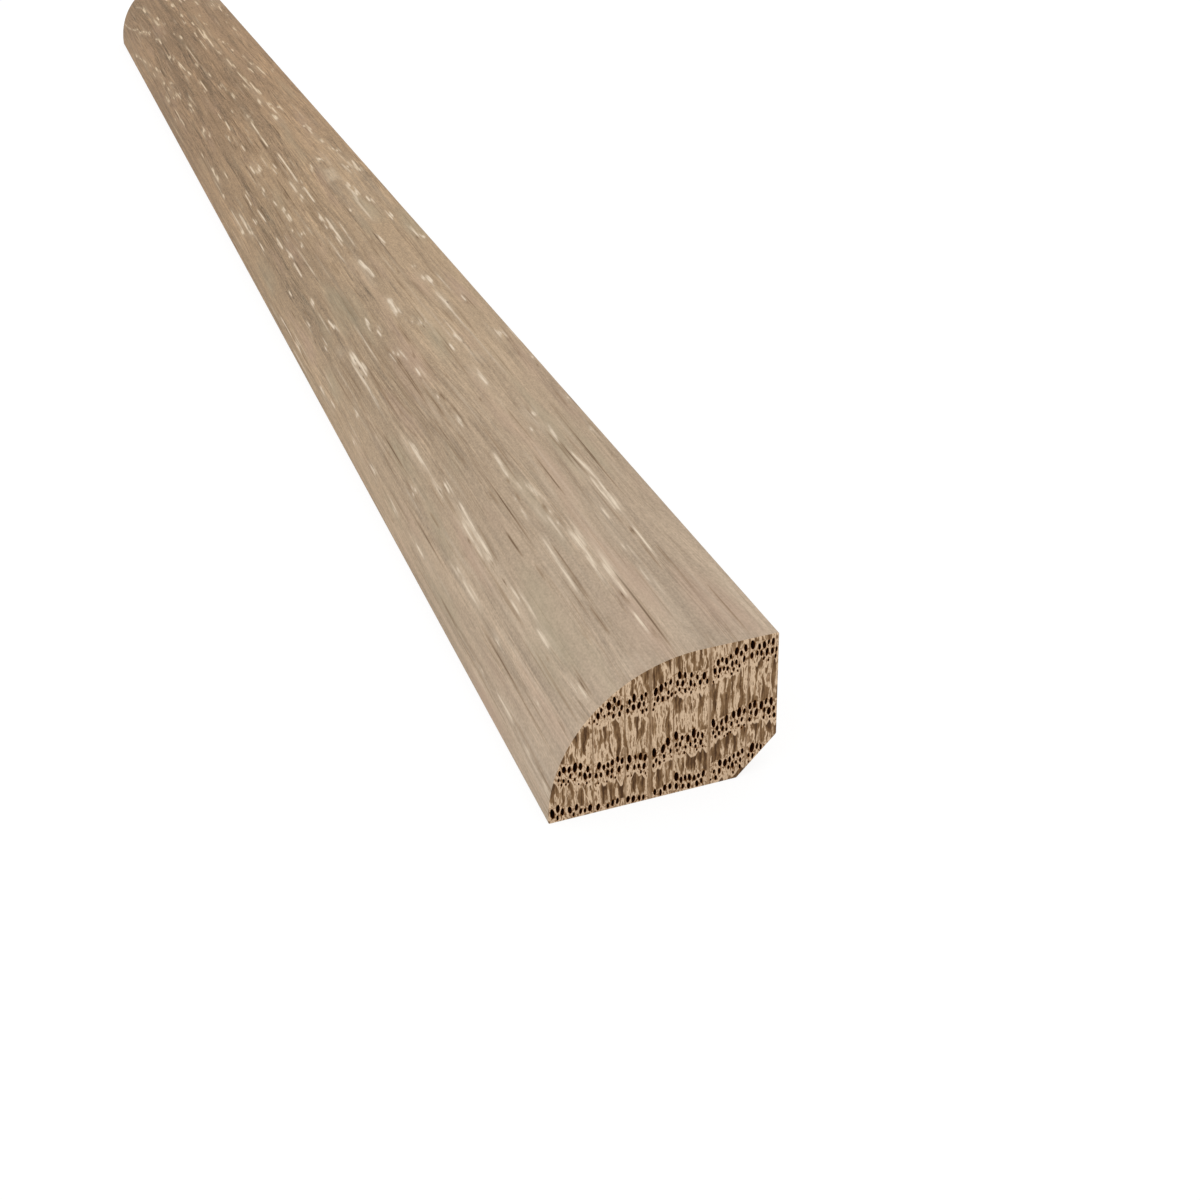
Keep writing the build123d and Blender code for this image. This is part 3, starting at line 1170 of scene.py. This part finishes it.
    def _mark(self, bm: bmesh.types.BMesh) -> None:
        """Marks where lime fills the pores of the shown faces, and where their dark lines and painted shade
        run.

        Args:
            bm: Closed and sliced mesh.
        """
        shown = [v for v in bm.verts if any(f.material_index == Zone.SHOW for f in v.link_faces)]
        stretch, gone = self.grain.stretch, self.grain.gone
        from_toe = self.layers["around"]
        tree = kdtree.KDTree(len(shown))
        for i, vert in enumerate(shown):
            vert[from_toe] = self.section.around(vert.co.y, vert.co.z)
            tree.insert((vert.co.x / MM / stretch, vert[from_toe] / MM, 0.0), i)
        tree.balance()
        limed, dark = self.grain.streaks(self.section, self.length, self.grain_seed)
        for layer, streaks in ((self.layers["lime"], limed), (self.layers["dark"], dark)):
            for streak in streaks:
                aside = gone * streak.width + abs(streak.climb) * streak.reach
                near = math.hypot(streak.reach / stretch, aside)
                middle = (streak.along / stretch, streak.around, 0.0)
                for (x, around, _), i, _ in tree.find_range(middle, near):
                    free = 1.0 - shown[i][layer]
                    shown[i][layer] = 1.0 - free * (1.0 - streak.strength_at(x * stretch, around))
        log.info("shown faces: %d streaks, %d dark lines, %d points", len(limed), len(dark), len(shown))

    def _brush(self, bm: bmesh.types.BMesh) -> None:
        """Sinks the soft grain of the shown faces a little below the milled surface.

        Args:
            bm: Closed and sliced mesh with its normals and its lime.
        """
        moves = []
        for vert in bm.verts:
            if all(f.material_index == Zone.SHOW for f in vert.link_faces):
                x, y, z = vert.co / MM
                # Bundles of fibres are 14 by 0.5 mm, and bands of softer wood 70 by 2.4 mm.
                fibre = noise.noise(Vector((x / 14, y / 0.5, z / 0.5)))
                band = noise.noise(Vector((x / 70 + 7, y / 2.4, z / 2.4)))
                depth = 0.3 * max(fibre, 0.0) + 0.3 * max(band, 0.0) + 0.5 * vert[self.layers["lime"]]
                fade = min((self.length / 2 - abs(vert.co.x)) / self.fade, 1.0)
                moves.append((vert, vert.normal * -min(depth, 1.0) * fade * self.relief_depth))
        for vert, move in moves:
            vert.co += move


@dataclass(frozen=True)
class Finish:
    """What the finishes share: a fresh material that each fills with its own nodes."""

    title: ClassVar[str] = ""

    def material(self) -> bpy.types.Material:
        """Builds the finish.

        Returns:
            The material.
        """
        made = bpy.data.materials.new(self.title)
        made.use_nodes = True
        made.node_tree.nodes.clear()
        add = partial(add_node, made.node_tree)
        add("ShaderNodeOutputMaterial", {"Surface": self.surface(add)})
        return made

    def surface(self, add: Adder) -> bpy.types.NodeSocket:
        """Adds the finish's own nodes.

        Args:
            add: Adds a node to the finish.

        Returns:
            Output with the surface.
        """
        raise NotImplementedError

    def lay(
        self, add: Adder, ground: bpy.types.NodeSocket, coats: list[tuple[bpy.types.NodeSocket, object]]
    ) -> bpy.types.NodeSocket:
        """Lays colours over a ground, from the lowest up.

        Args:
            add: Adds a node to the finish.
            ground: Output with the ground's colour.
            coats: For each colour, the output that says how far it covers, and the colour.

        Returns:
            Output with the colour that comes of it.
        """
        for cover, colour in coats:
            ground = add(BLEND, {"Factor": cover, "A": ground, "B": colour}, data_type="RGBA")
        return ground


@dataclass(frozen=True)
class LimedOak(Finish):
    """Brushed oak with pale lime rubbed into its pores, as on the curved front and the top.

    Attributes:
        length: Length of the piece, in metres.
        ground: Colours from the darker, browner end towards -X to the lighter, greyer one towards +X.
        lime: Colours of a pore filled with lime, in the browner half and in the greyer one.
        slit_shade: Colour of the painted shade in open slits beside the lime.
        line: Colour of the dark lines of the grain, which also carries part of the painted shade along the
            lime.
        blush: Colour of the faint pink patches.
        moss: Colour of the faint green patches.
    """

    title: ClassVar[str] = "limed brushed oak"
    length: float
    ground: tuple[tuple[float, str], ...] = (
        (0.0, "#967b5e"),
        (0.2, "#987c5e"),
        (0.38, "#9b7f61"),
        (0.56, "#a68c6e"),
        (0.76, "#ac957a"),
        (1.0, "#b19e89"),
    )
    lime: tuple[str, str] = ("#dfc9aa", "#e1d0b9")
    slit_shade: str = "#58422b"
    line: str = "#80674b"
    blush: str = "#b89a86"
    moss: str = "#a59b82"

    def surface(self, add: Adder) -> bpy.types.NodeSocket:
        """Adds the finish's own nodes.

        Args:
            add: Adds a node to the finish.

        Returns:
            Output with the surface.
        """
        # Brushed oak under a thin grey stain, with lime wiped into its cut pores, gives the eye a dull
        # greyish tan with soft fibres, and short cream dashes with painted shade in open slits beside them.
        place = add("ShaderNodeTexCoord").node.outputs["Object"]
        along = add("ShaderNodeSeparateXYZ", {0: place})
        around = add(ATTRIBUTE, attribute_name="around").node.outputs["Fac"]
        held = add(ATTRIBUTE, attribute_name="lime").node.outputs["Fac"]
        dark_lines_and_shade = add(ATTRIBUTE, attribute_name="dark").node.outputs["Fac"]
        sheet = add("ShaderNodeCombineXYZ", {0: along, 1: around})

        # The fibres wander to and fro by about a millimetre.
        wander = add(VECTOR, {0: sheet, 1: per_mm(45, 7)}, operation="MULTIPLY")
        wander = add(CLOUD, {"Vector": wander, "Scale": 1.0, "Detail": 1.0}).node.outputs["Color"]
        grain = add(VECTOR, {0: wander, 1: (0.0, 2.6 * MM, 0.0), 2: sheet}, operation="MULTIPLY_ADD")

        # Fibres of oak are about 0.02 mm wide. The finest patterns are 0.13 mm wide, so that they show.
        wandering = {
            "patch": (26, 3.6, 1.0),
            "band": (70, 2.6, 1.0),
            "vein": (34, 0.8, 2.0),
            "coarse": (9, 0.5, 3.0),
            "fibre": (13, 0.26, 3.0),
            "hair": (4, 0.13, 2.0),
            "speck": (0.3, 0.17, 2.0),
            "mote": (1.3, 0.32, 2.0),
        }
        # These keep straight, because the mesh already marks how each stroke lies.
        straight = {
            "line_and_shade_marks": (18, 0.13, 2.0),
            "brush": (3, 0.13, 3.0),
            "broom": (3, 0.18, 3.0),
            "bundle": (40, 1.5, 1.0),
        }
        fields = patterns(add, grain, wandering) | patterns(add, sheet, straight, len(wandering))

        # Lighter and darker fibres, bands and specks, stronger in the browner half.
        parts = {"band": 0.5, "vein": 0.38, "coarse": 0.4, "speck": 0.72, "mote": 0.38}
        tone = -sum(parts.values()) / 2
        for name, amount in parts.items():
            tone = add(MATH, {0: fields[name], 1: amount, 2: tone}, operation="MULTIPLY_ADD")
        bundle = add(SPREAD, {"Value": fields["bundle"], "From Min": 0.4, "From Max": 0.62})
        fine = add(MATH, {0: fields["fibre"], 1: fields["hair"]}, operation="ADD")
        fine = add(MATH, {0: fine, 1: -1.0}, operation="ADD")
        strong = add(SPREAD, {"Value": bundle, "To Min": 0.14, "To Max": 0.85})
        tone = add(MATH, {0: fine, 1: strong, 2: tone}, operation="MULTIPLY_ADD")
        rugged = {"Value": along, "From Max": 120 * MM, "To Min": 1.62, "To Max": 0.86}
        tone = add(MATH, {0: tone, 1: add(SPREAD, rugged), 2: 1.0}, operation="MULTIPLY_ADD")

        # Growth rings come out as bands with one crisp darker edge.
        ring = add(MATH, {0: around, 1: 1 / (2.6 * MM)}, operation="MULTIPLY")
        ring = add(MATH, {0: fields["band"], 1: 3.4, 2: ring}, operation="MULTIPLY_ADD")
        ring = add(MATH, {0: ring}, operation="FRACT")
        tone = add(MATH, {0: ring, 1: 0.06, 2: tone}, operation="MULTIPLY_ADD")
        tone = add(MATH, {0: tone, 1: 0.03}, operation="SUBTRACT")

        # A broad band half way up the front is darker, but for its greyer end.
        middle = {"Value": along, "From Max": -125 * MM, "To Min": 10.3 * MM, "To Max": 13.5 * MM}
        away = add(MATH, {0: around, 1: add(SPREAD, middle)}, operation="SUBTRACT")
        away = add(MATH, {0: away}, operation="ABSOLUTE")
        heart = add(SPREAD, {"Value": away, "From Min": 7.5 * MM, "From Max": 1 * MM, "To Max": -0.15})
        brown = add(SPREAD, {"Value": along, "From Min": 160 * MM, "From Max": 70 * MM})
        tone = add(MATH, {0: heart, 1: brown, 2: tone}, operation="MULTIPLY_ADD")

        # Darker and browner towards -X, lighter and greyer towards +X.
        share = add(SPREAD, {"Value": along, "From Min": -self.length / 2, "From Max": self.length / 2})
        wood = add(RAMP, {0: share}, stops=self.ground)
        wood = add(VECTOR, {0: wood, "Scale": tone}, operation="SCALE")

        # Faint pink and green patches.
        half = add(SPREAD, {"Value": along, "From Min": -50 * MM, "From Max": 70 * MM})
        amount = add(SPREAD, {"Value": half, "To Min": 0.16, "To Max": 0.42})
        coats = []
        for low, high, colour in ((0.57, 0.74, self.blush), (0.43, 0.26, self.moss)):
            patch = {"Value": fields["patch"], "From Min": low, "From Max": high, "To Max": amount}
            coats.append((add(SPREAD, patch), colour))

        # Dark lines of the grain and painted shade, where the mesh marks them, and along the crisp edges of
        # the rings.
        line_and_shade_marks = add(MATH, {0: dark_lines_and_shade, 1: 0.5, 2: fields["line_and_shade_marks"]}, operation="MULTIPLY_ADD")
        line = add(SPREAD, {"Value": half, "To Min": 0.8, "To Max": 0.56})
        line = add(SPREAD, {"Value": line_and_shade_marks, "From Min": 0.64, "From Max": 0.86, "To Max": line})
        edge = add(SPREAD, {"Value": ring, "From Min": 0.06, "From Max": 0.0})
        broken = add(SPREAD, {"Value": fields["coarse"], "From Min": 0.45, "From Max": 0.6, "To Max": 0.35})
        edge = add(MATH, {0: edge, 1: broken}, operation="MULTIPLY")
        line = add(MATH, {0: line, 1: edge}, operation="MAXIMUM")

        # Crisp lines wander along the veins where the fibres show.
        crisp = add(MATH, {0: fields["vein"], 1: -0.5}, operation="ADD")
        crisp = add(MATH, {0: crisp}, operation="ABSOLUTE")
        crisp = add(SPREAD, {"Value": crisp, "From Min": 0.022, "From Max": 0.0})
        crisp = add(MATH, {0: crisp, 1: bundle}, operation="MULTIPLY")
        near = add(SPREAD, {"Value": along, "From Min": 60 * MM, "From Max": 125 * MM})
        calm = add(SPREAD, {"Value": near, "To Min": 0.7, "To Max": 0.4})
        crisp = add(MATH, {0: crisp, 1: calm}, operation="MULTIPLY")
        line = add(MATH, {0: line, 1: crisp}, operation="MAXIMUM")

        # Lime: a haze about the pores, and ragged brushed streaks in them, broader in the browner half.
        chalk = add(BLEND, {"Factor": half, "A": self.lime[0], "B": self.lime[1]}, data_type="RGBA")
        haze = add(SPREAD, {"Value": held, "From Min": 0.03, "From Max": 0.8, "To Max": 0.3})
        stroke = add(BLEND, {"Factor": half, "A": fields["broom"], "B": fields["brush"]})
        most = add(SPREAD, {"Value": half, "To Min": 0.97, "To Max": 1.0})
        fill = add(SPREAD, {"Value": stroke, "From Min": 0.34, "From Max": 0.52, "To Max": most})
        low = add(SPREAD, {"Value": half, "To Min": 0.42, "To Max": 0.28})
        low = add(MATH, {0: near, 1: 0.2, 2: low}, operation="MULTIPLY_ADD")
        high = add(MATH, {0: low, 1: 0.42}, operation="ADD")
        full = add(SPREAD, {"Value": held, "From Min": low, "From Max": high})
        fill = add(MATH, {0: fill, 1: full}, operation="MULTIPLY")

        # Painted shade in the open slits beside the lime, where the dark marks are strongest.
        slit_shade = add(SPREAD, {"Value": line_and_shade_marks, "From Min": 0.88, "From Max": 1.0, "To Max": 0.65})
        coats += [(line, self.line), (haze, chalk), (fill, chalk), (slit_shade, self.slit_shade)]
        wood = self.lay(add, wood, coats)

        height = add(MATH, {0: fields["fibre"], 1: fill}, operation="SUBTRACT")
        height = add(MATH, {0: height, 1: slit_shade}, operation="SUBTRACT")
        bump = add("ShaderNodeBump", {"Height": height, "Distance": 0.03 * MM, "Strength": 0.5})
        rough = add(SPREAD, {"Value": fill, "To Min": 0.7, "To Max": 0.85})
        finish = {"Base Color": wood, "Roughness": rough, "Normal": bump, "Specular IOR Level": 0.15}
        return add("ShaderNodeBsdfPrincipled", finish)


@dataclass(frozen=True)
class BareOak(Finish):
    """Bare planed oak, as on the hidden back, base and relief.

    Attributes:
        rings: Lie of the rings and rays.
        section: The milled section.
        light: Colour of the palest fibres.
        dark: Colour of the darkest fibres.
        pore: Colour of the cut pores.
        ray: Colour of the rays where they come out.
    """

    title: ClassVar[str] = "bare planed oak"
    rings: GrowthRings
    section: Section
    light: str = "#bfa17b"
    dark: str = "#a08360"
    pore: str = "#6f5238"
    ray: str = "#cbb08c"

    def surface(self, add: Adder) -> bpy.types.NodeSocket:
        """Adds the finish's own nodes.

        Args:
            add: Adds a node to the finish.

        Returns:
            Output with the surface.
        """
        # Planed oak without a finish gives the eye a matt warm tan, with the cut pores as short brown
        # dashes and the rays as pale flecks. The fibres are drawn in bundles, so that they show.
        place = add("ShaderNodeTexCoord").node.outputs["Object"]
        flat = add(VECTOR, {0: place, 1: per_mm(1, 1)}, operation="MULTIPLY")
        split = add("ShaderNodeSeparateXYZ", {0: flat}).node
        fields = {}
        for name, (long, wide, tall) in {
            "wander": (60, 8, 8),
            "fibre": (16, 0.35, 0.35),
            "pore": (2.6, 0.24, 0.24),
            "fleck": (5, 0.5, 1.6),
        }.items():
            spot = add(VECTOR, {0: place, 1: per_mm(long, wide, tall)}, operation="MULTIPLY")
            fields[name] = add(CLOUD, {"Vector": spot, "Scale": 1.0, "Detail": 2.0})
        up = add(MATH, {0: fields["wander"], 1: 2.4, 2: split.outputs["Z"]}, operation="MULTIPLY_ADD")
        depth = self.rings.depth(add, split.outputs["Y"], up, self.section)
        wood = add(RAMP, {0: fields["fibre"]}, stops=((0.3, self.dark), (0.7, self.light)))
        fleck = add(SPREAD, {"Value": fields["fleck"], "From Min": 0.6, "From Max": 0.7, "To Max": 0.6})
        early = add(SPREAD, {"Value": depth, "From Min": 2.4, "From Max": 1.6})
        late = add(SPREAD, {"Value": early, "To Min": 0.14, "To Max": 0.0})
        pore = add(MATH, {0: fields["pore"], 1: late}, operation="SUBTRACT")
        pore = add(SPREAD, {"Value": pore, "From Min": 0.56, "From Max": 0.63, "To Max": 0.8})
        wood = self.lay(add, wood, [(fleck, self.ray), (pore, self.pore)])
        height = add(MATH, {0: fields["fibre"], 1: pore}, operation="SUBTRACT")
        bump = add("ShaderNodeBump", {"Height": height, "Distance": 0.05 * MM, "Strength": 0.5})
        finish = {"Base Color": wood, "Roughness": 0.75, "Normal": bump, "Specular IOR Level": 0.3}
        return add("ShaderNodeBsdfPrincipled", finish)


@dataclass(frozen=True)
class SawnEndGrain(Finish):
    """Sawn end of the oak: pale pored earlywood, tan latewood with brown flames, and rays.

    Attributes:
        rings: Lie of the rings and rays.
        section: The milled section.
        cream: Colour of the pale cell walls.
        tan: Colour of the latewood.
        shade: Colour of its darker grains.
        brown: Colour of the flames.
        deep: Colour of the flames where they are densest.
        lip: Colour of the edge of an open pore.
        ray: Colour of the rays.
    """

    title: ClassVar[str] = "sawn oak end grain"
    rings: GrowthRings
    section: Section
    cream: str = "#d2b799"
    tan: str = "#a88a6c"
    shade: str = "#866a4b"
    brown: str = "#715437"
    deep: str = "#4b331e"
    lip: str = "#a5692f"
    ray: str = "#7f6345"

    def surface(self, add: Adder) -> bpy.types.NodeSocket:
        """Adds the finish's own nodes.

        Args:
            add: Adds a node to the finish.

        Returns:
            Output with the surface.
        """
        # A saw has cut the fibres across, so that they take in the light. The eye gets dull cream, tan
        # and brown, with open pores in rows and the rays as thin upright lines.
        place = add("ShaderNodeTexCoord").node.outputs["Object"]
        flat = add(VECTOR, {0: place, 1: per_mm(1, 1)}, operation="MULTIPLY")
        split = add("ShaderNodeSeparateXYZ", {0: flat}).node
        across, up = split.outputs["Y"], split.outputs["Z"]

        # Everything but the rays is stirred a little, so that no edge is smooth.
        stir = add(VECTOR, {0: place, 1: per_mm(1, 0.7, 1.1)}, operation="MULTIPLY")
        stir = add(CLOUD, {"Vector": stir, "Scale": 1.0, "Detail": 3.0}).node.outputs["Color"]
        stirred = add(VECTOR, {0: stir, 1: (0.0, 0.4 * MM, 0.8 * MM), 2: place}, operation="MULTIPLY_ADD")

        # The ends of fibres and the fine rays are about 0.02 mm wide, and are 0.1 mm here to show.
        rough = {
            "flame": (40, 0.42, 2.6, 2.5),
            "lace": (40, 0.24, 1.2, 2.0),
            "mottle": (40, 0.16, 0.36, 2.0),
            "scallop": (40, 0.5, 9.0, 1.0),
            "fine": (40, 0.1, 4.0, 1.0),
            "grit": (40, 0.09, 0.15, 1.0),
        }
        fields = patterns(add, stirred, rough)
        fields |= patterns(add, place, {"stripe": (40, 0.15, 5.0, 2.0)}, len(rough))
        depth = self.rings.depth(add, across, up, self.section)
        below = add(MATH, {0: fields["scallop"], 1: 2.6, 2: depth}, operation="MULTIPLY_ADD")
        below = add(MATH, {0: below, 1: 1.3}, operation="SUBTRACT")

        # Latewood: brown flames, deepest just under the pores, with a cream wall round each.
        head = {"Value": below, "From Min": 1.85, "From Max": 2.1, "To Min": -0.3, "To Max": 0.07}
        tail = {"Value": below, "From Min": 2.3, "From Max": 4.2, "To Min": 0.0, "To Max": -0.08}
        flame = add(MATH, {0: add(SPREAD, head), 1: add(SPREAD, tail)}, operation="ADD")
        flame = add(MATH, {0: flame, 1: fields["flame"]}, operation="SUBTRACT")
        flame = add(MATH, {0: fields["mottle"], 1: 0.14, 2: flame}, operation="MULTIPLY_ADD")
        flame = add(MATH, {0: flame, 1: 0.43}, operation="ADD")
        grain = add(RAMP, {0: fields["mottle"]}, stops=((0.38, self.shade), (0.5, self.tan)))
        lace = add(SPREAD, {"Value": fields["lace"], "From Min": 0.56, "From Max": 0.64, "To Max": 0.4})
        coats = [(lace, self.cream)]
        walls = ((-0.13, 0.04, 0.6, self.brown), (-0.045, 0.07, 0.95, self.cream))
        for level, reach, amount, colour in walls:
            wall = add(MATH, {0: flame, 1: level}, operation="SUBTRACT")
            wall = add(MATH, {0: wall}, operation="ABSOLUTE")
            wall = {"Value": wall, "From Min": reach, "From Max": reach / 2, "To Max": amount}
            coats.append((add(SPREAD, wall), colour))
        heart = add(MATH, {0: fields["stripe"], 1: 0.4, 2: flame}, operation="MULTIPLY_ADD")
        heart = add(SPREAD, {"Value": heart, "From Min": 0.16, "From Max": 0.38})
        stops = ((0.0, self.tan), (0.25, self.shade), (0.6, self.brown), (1.0, self.deep))
        heart = add(RAMP, {0: heart}, stops=stops)
        inside = add(SPREAD, {"Value": flame, "From Min": -0.015, "From Max": 0.025})

        # Earlywood: cream cell walls with darker gaps.
        early = ((0.4, self.brown), (0.47, self.tan), (0.53, self.cream))
        early = add(RAMP, {0: fields["mottle"]}, stops=early)
        band = add(SPREAD, {"Value": below, "From Min": 1.95, "From Max": 1.75})
        top = add(SPREAD, {"Value": depth, "From Min": 0.0, "From Max": 0.12})
        band = add(MATH, {0: band, 1: top}, operation="MULTIPLY")
        arch = add(MATH, {0: below, 1: 1.95}, operation="SUBTRACT")
        arch = add(MATH, {0: arch}, operation="ABSOLUTE")
        arch = add(SPREAD, {"Value": arch, "From Min": 0.2, "From Max": 0.1, "To Max": 0.9})

        # Rays: broad brown ones, and many as fine as a hair.
        hair = add(SPREAD, {"Value": fields["fine"], "From Min": 0.56, "From Max": 0.66, "To Max": 0.4})
        ray = self.rings.ray_mask(add, across, up, self.section)
        ray = add(MATH, {0: ray, 1: 0.78}, operation="MULTIPLY")
        stripes = ((0.42, self.brown), (0.5, self.ray), (0.58, self.tan))
        stripes = add(RAMP, {0: fields["stripe"]}, stops=stripes)

        rim = add(ATTRIBUTE, attribute_name="rim").node.outputs["Fac"]
        coats += [(inside, heart), (band, early), (arch, self.cream)]
        coats += [(hair, self.ray), (ray, stripes), (rim, self.lip)]
        grain = self.lay(add, grain, coats)
        grit = add(SPREAD, {"Value": fields["grit"], "To Min": 0.76, "To Max": 1.24})
        grain = add(VECTOR, {0: grain, "Scale": grit}, operation="SCALE")
        bump = add("ShaderNodeBump", {"Height": fields["mottle"], "Distance": 0.05 * MM, "Strength": 0.5})
        finish = {"Base Color": grain, "Roughness": 0.85, "Normal": bump, "Specular IOR Level": 0.15}
        return add("ShaderNodeBsdfPrincipled", finish)


@dataclass(frozen=True)
class OpenVessel(Finish):
    """Inside of an open pore, painted with shade: its very dark fibres, among warm brown ones, stand for
    the shade in the tube.

    Attributes:
        brown: Colour of the paler fibres of its wall, darkened by painted shade.
        painted_shade: Colour of the darker ones, the painted shade of the tube.
    """

    title: ClassVar[str] = "oak vessel wall"
    brown: str = "#4c240a"
    painted_shade: str = "#1c0800"

    def surface(self, add: Adder) -> bpy.types.NodeSocket:
        """Adds the finish's own nodes.

        Args:
            add: Adds a node to the finish.

        Returns:
            Output with the surface.
        """
        # A pore is a tube in the wood, so that the eye sees dark shade in it, with a warm brown wall at its
        # mouth.
        # The shade is painted as very dark fibres among brown ones, 0.1 mm wide here, so that they show.
        place = add("ShaderNodeTexCoord").node.outputs["Object"]
        grain = add(VECTOR, {0: place, 1: per_mm(0.4, 0.1)}, operation="MULTIPLY")
        fibre = add(CLOUD, {"Vector": grain, "Scale": 1.0, "Detail": 2.0})
        # Painted shade: the darker fibres stand for the shade inside the tube.
        colour = add(RAMP, {0: fibre}, stops=((0.35, self.painted_shade), (0.7, self.brown)))
        finish = {"Base Color": colour, "Roughness": 0.9, "Specular IOR Level": 0.05}
        return add("ShaderNodeBsdfPrincipled", finish)


@dataclass(frozen=True)
class WhiteFloor(Finish):
    """Matt white floor that a camera sees as white, but for the shadow of the piece.

    Attributes:
        shade: Share of the light on the floor that a camera sees, which lets the shadow show.
    """

    title: ClassVar[str] = "white floor"
    shade: float = 0.2

    def surface(self, add: Adder) -> bpy.types.NodeSocket:
        """Adds the finish's own nodes.

        Args:
            add: Adds a node to the finish.

        Returns:
            Output with the surface.
        """
        # Matt paper gives the eye an even white, with a soft shadow and no gloss.
        seen = add(MATH, {0: white_to(add), 1: 1 - self.shade}, operation="MULTIPLY")
        matt = add("ShaderNodeBsdfDiffuse", {"Color": "#f4f4f4"})
        glow = add("ShaderNodeEmission", {"Color": "#ffffff", "Strength": 1.06})
        return add("ShaderNodeMixShader", {0: seen, 1: matt, 2: glow})


def white_to(add: Adder) -> bpy.types.NodeSocket:
    """Adds nodes that tell the rays that see the studio as white from those that light the piece.

    Args:
        add: Adds a node to the finish.

    Returns:
        Output that is 1 for a ray from the camera, a reflection or glass, and 0 otherwise.
    """
    path = add("ShaderNodeLightPath").node
    seen = path.outputs["Is Camera Ray"]
    for ray in ("Is Glossy Ray", "Is Transmission Ray"):
        seen = add(MATH, {0: seen, 1: path.outputs[ray]}, operation="MAXIMUM")
    return seen


@dataclass(frozen=True)
class Studio:
    """White floor, soft lamps and the camera.

    Attributes:
        floor_size: Side of the floor, in metres.
        sky: Strength of the even light from all round.
        lamps: Name, place in metres and power in watts of each soft lamp.
        lamp_size: Side of a lamp, in metres.
        camera_place: Place of the camera, in metres.
        azimuth: Direction that the camera stands in, in degrees from -Y towards +X.
        elevation: Height of the camera's line of sight, in degrees.
        roll: Turn of the camera about that line, in degrees.
        lens: Focal length, in millimetres.
    """

    floor_size: float = 6.0
    sky: float = 0.87
    lamps: tuple[tuple[str, tuple[float, float, float], float], ...] = (
        ("top lamp", (0.4, 0.3, 1.2), 2.6),
        ("front lamp", (0.7, -0.9, 0.35), 1.8),
    )
    lamp_size: float = 0.8
    camera_place: tuple[float, float, float] = (0.248343, -0.037776, 0.078902)
    azimuth: float = 71.017
    elevation: float = 30.613
    roll: float = -1.943
    lens: float = 49.4945

    def build(self) -> None:
        """Sets up the floor, the world, the lamps and the camera."""
        self._floor()
        self._world()
        self._lamps()
        self._camera()
        bpy.context.scene.view_settings.view_transform = "Standard"

    def _floor(self) -> None:
        """Lays a white floor that keeps the shadow of the piece."""
        bm = bmesh.new()
        bmesh.ops.create_grid(bm, x_segments=1, y_segments=1, size=self.floor_size / 2)
        floor = placed(bm, "floor")
        floor.data.materials.append(WhiteFloor().material())

    def _world(self) -> None:
        """Lights the piece evenly from all round, before a white background."""
        world = bpy.data.worlds.new("studio")
        bpy.context.scene.world = world
        world.use_nodes = True
        world.node_tree.nodes.clear()
        add = partial(add_node, world.node_tree)
        strength = add(BLEND, {"Factor": white_to(add), "A": self.sky, "B": 1.0})
        back = add("ShaderNodeBackground", {"Color": "#ffffff", "Strength": strength})
        add("ShaderNodeOutputWorld", {"Surface": back})

    def _lamps(self) -> None:
        """Hangs a soft lamp above the top, and stands one low before the front."""
        for name, place, power in self.lamps:
            lamp = bpy.data.lights.new(name, "AREA")
            lamp.energy = power
            lamp.shape = "SQUARE"
            lamp.size = self.lamp_size
            placed = bpy.data.objects.new(name, lamp)
            placed.location = place
            placed.rotation_euler = (-placed.location).to_track_quat("-Z", "Y").to_euler()
            bpy.context.scene.collection.objects.link(placed)

    def _camera(self) -> None:
        """Puts the camera where it sees the piece as in the photograph."""
        turn, tilt, roll = (math.radians(a) for a in (self.azimuth, self.elevation, self.roll))
        ahead = -Vector(
            (math.sin(turn) * math.cos(tilt), -math.cos(turn) * math.cos(tilt), math.sin(tilt))
        )
        level = ahead.cross(Vector((0, 0, 1))).normalized()
        above = level.cross(ahead)
        right = level * math.cos(roll) + above * math.sin(roll)
        up = above * math.cos(roll) - level * math.sin(roll)
        data = bpy.data.cameras.new("camera")
        data.lens = self.lens
        data.clip_start = 0.01
        camera = bpy.data.objects.new("camera", data)
        axes = Matrix((right, up, -ahead)).transposed().to_4x4()
        camera.matrix_world = Matrix.Translation(self.camera_place) @ axes
        bpy.context.scene.collection.objects.link(camera)
        bpy.context.scene.camera = camera


def read_section() -> tuple[Section, float]:
    """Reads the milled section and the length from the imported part.

    Returns:
        The section and the length, in metres.
    """
    low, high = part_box(NODE)
    back = [v.co.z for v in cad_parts[NODE].data.vertices if high.y - v.co.y < 0.01 * MM]
    return Section(high.y - low.y, high.z - low.z, min(back)), high.x - low.x


def write_sizes() -> None:
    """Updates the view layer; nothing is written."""
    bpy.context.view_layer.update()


def main() -> None:
    """Builds the piece, its finishes and the studio, and logs the section and the piece."""
    logging.basicConfig(level=logging.INFO, format="%(name)s: %(message)s")
    section, length = read_section()
    sizes = (section.width / MM, section.height / MM, section.relief / MM)
    log.info("section %.2f x %.2f mm, relief %.2f mm", *sizes)
    moulding = ShoeMoulding(section, length)
    piece = moulding.build()
    moulding.dress(
        piece,
        {
            Zone.SHOW: LimedOak(length).material(),
            Zone.BARE: BareOak(moulding.rings, section).material(),
            Zone.SAWN: SawnEndGrain(moulding.rings, section).material(),
            Zone.VESSEL: OpenVessel().material(),
        },
    )
    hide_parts(NODE)
    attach(piece, BODY)
    log.info("%s: %d faces", piece.name, len(piece.data.polygons))
    Studio().build()
    write_sizes()


if __name__ == "__main__":
    main()
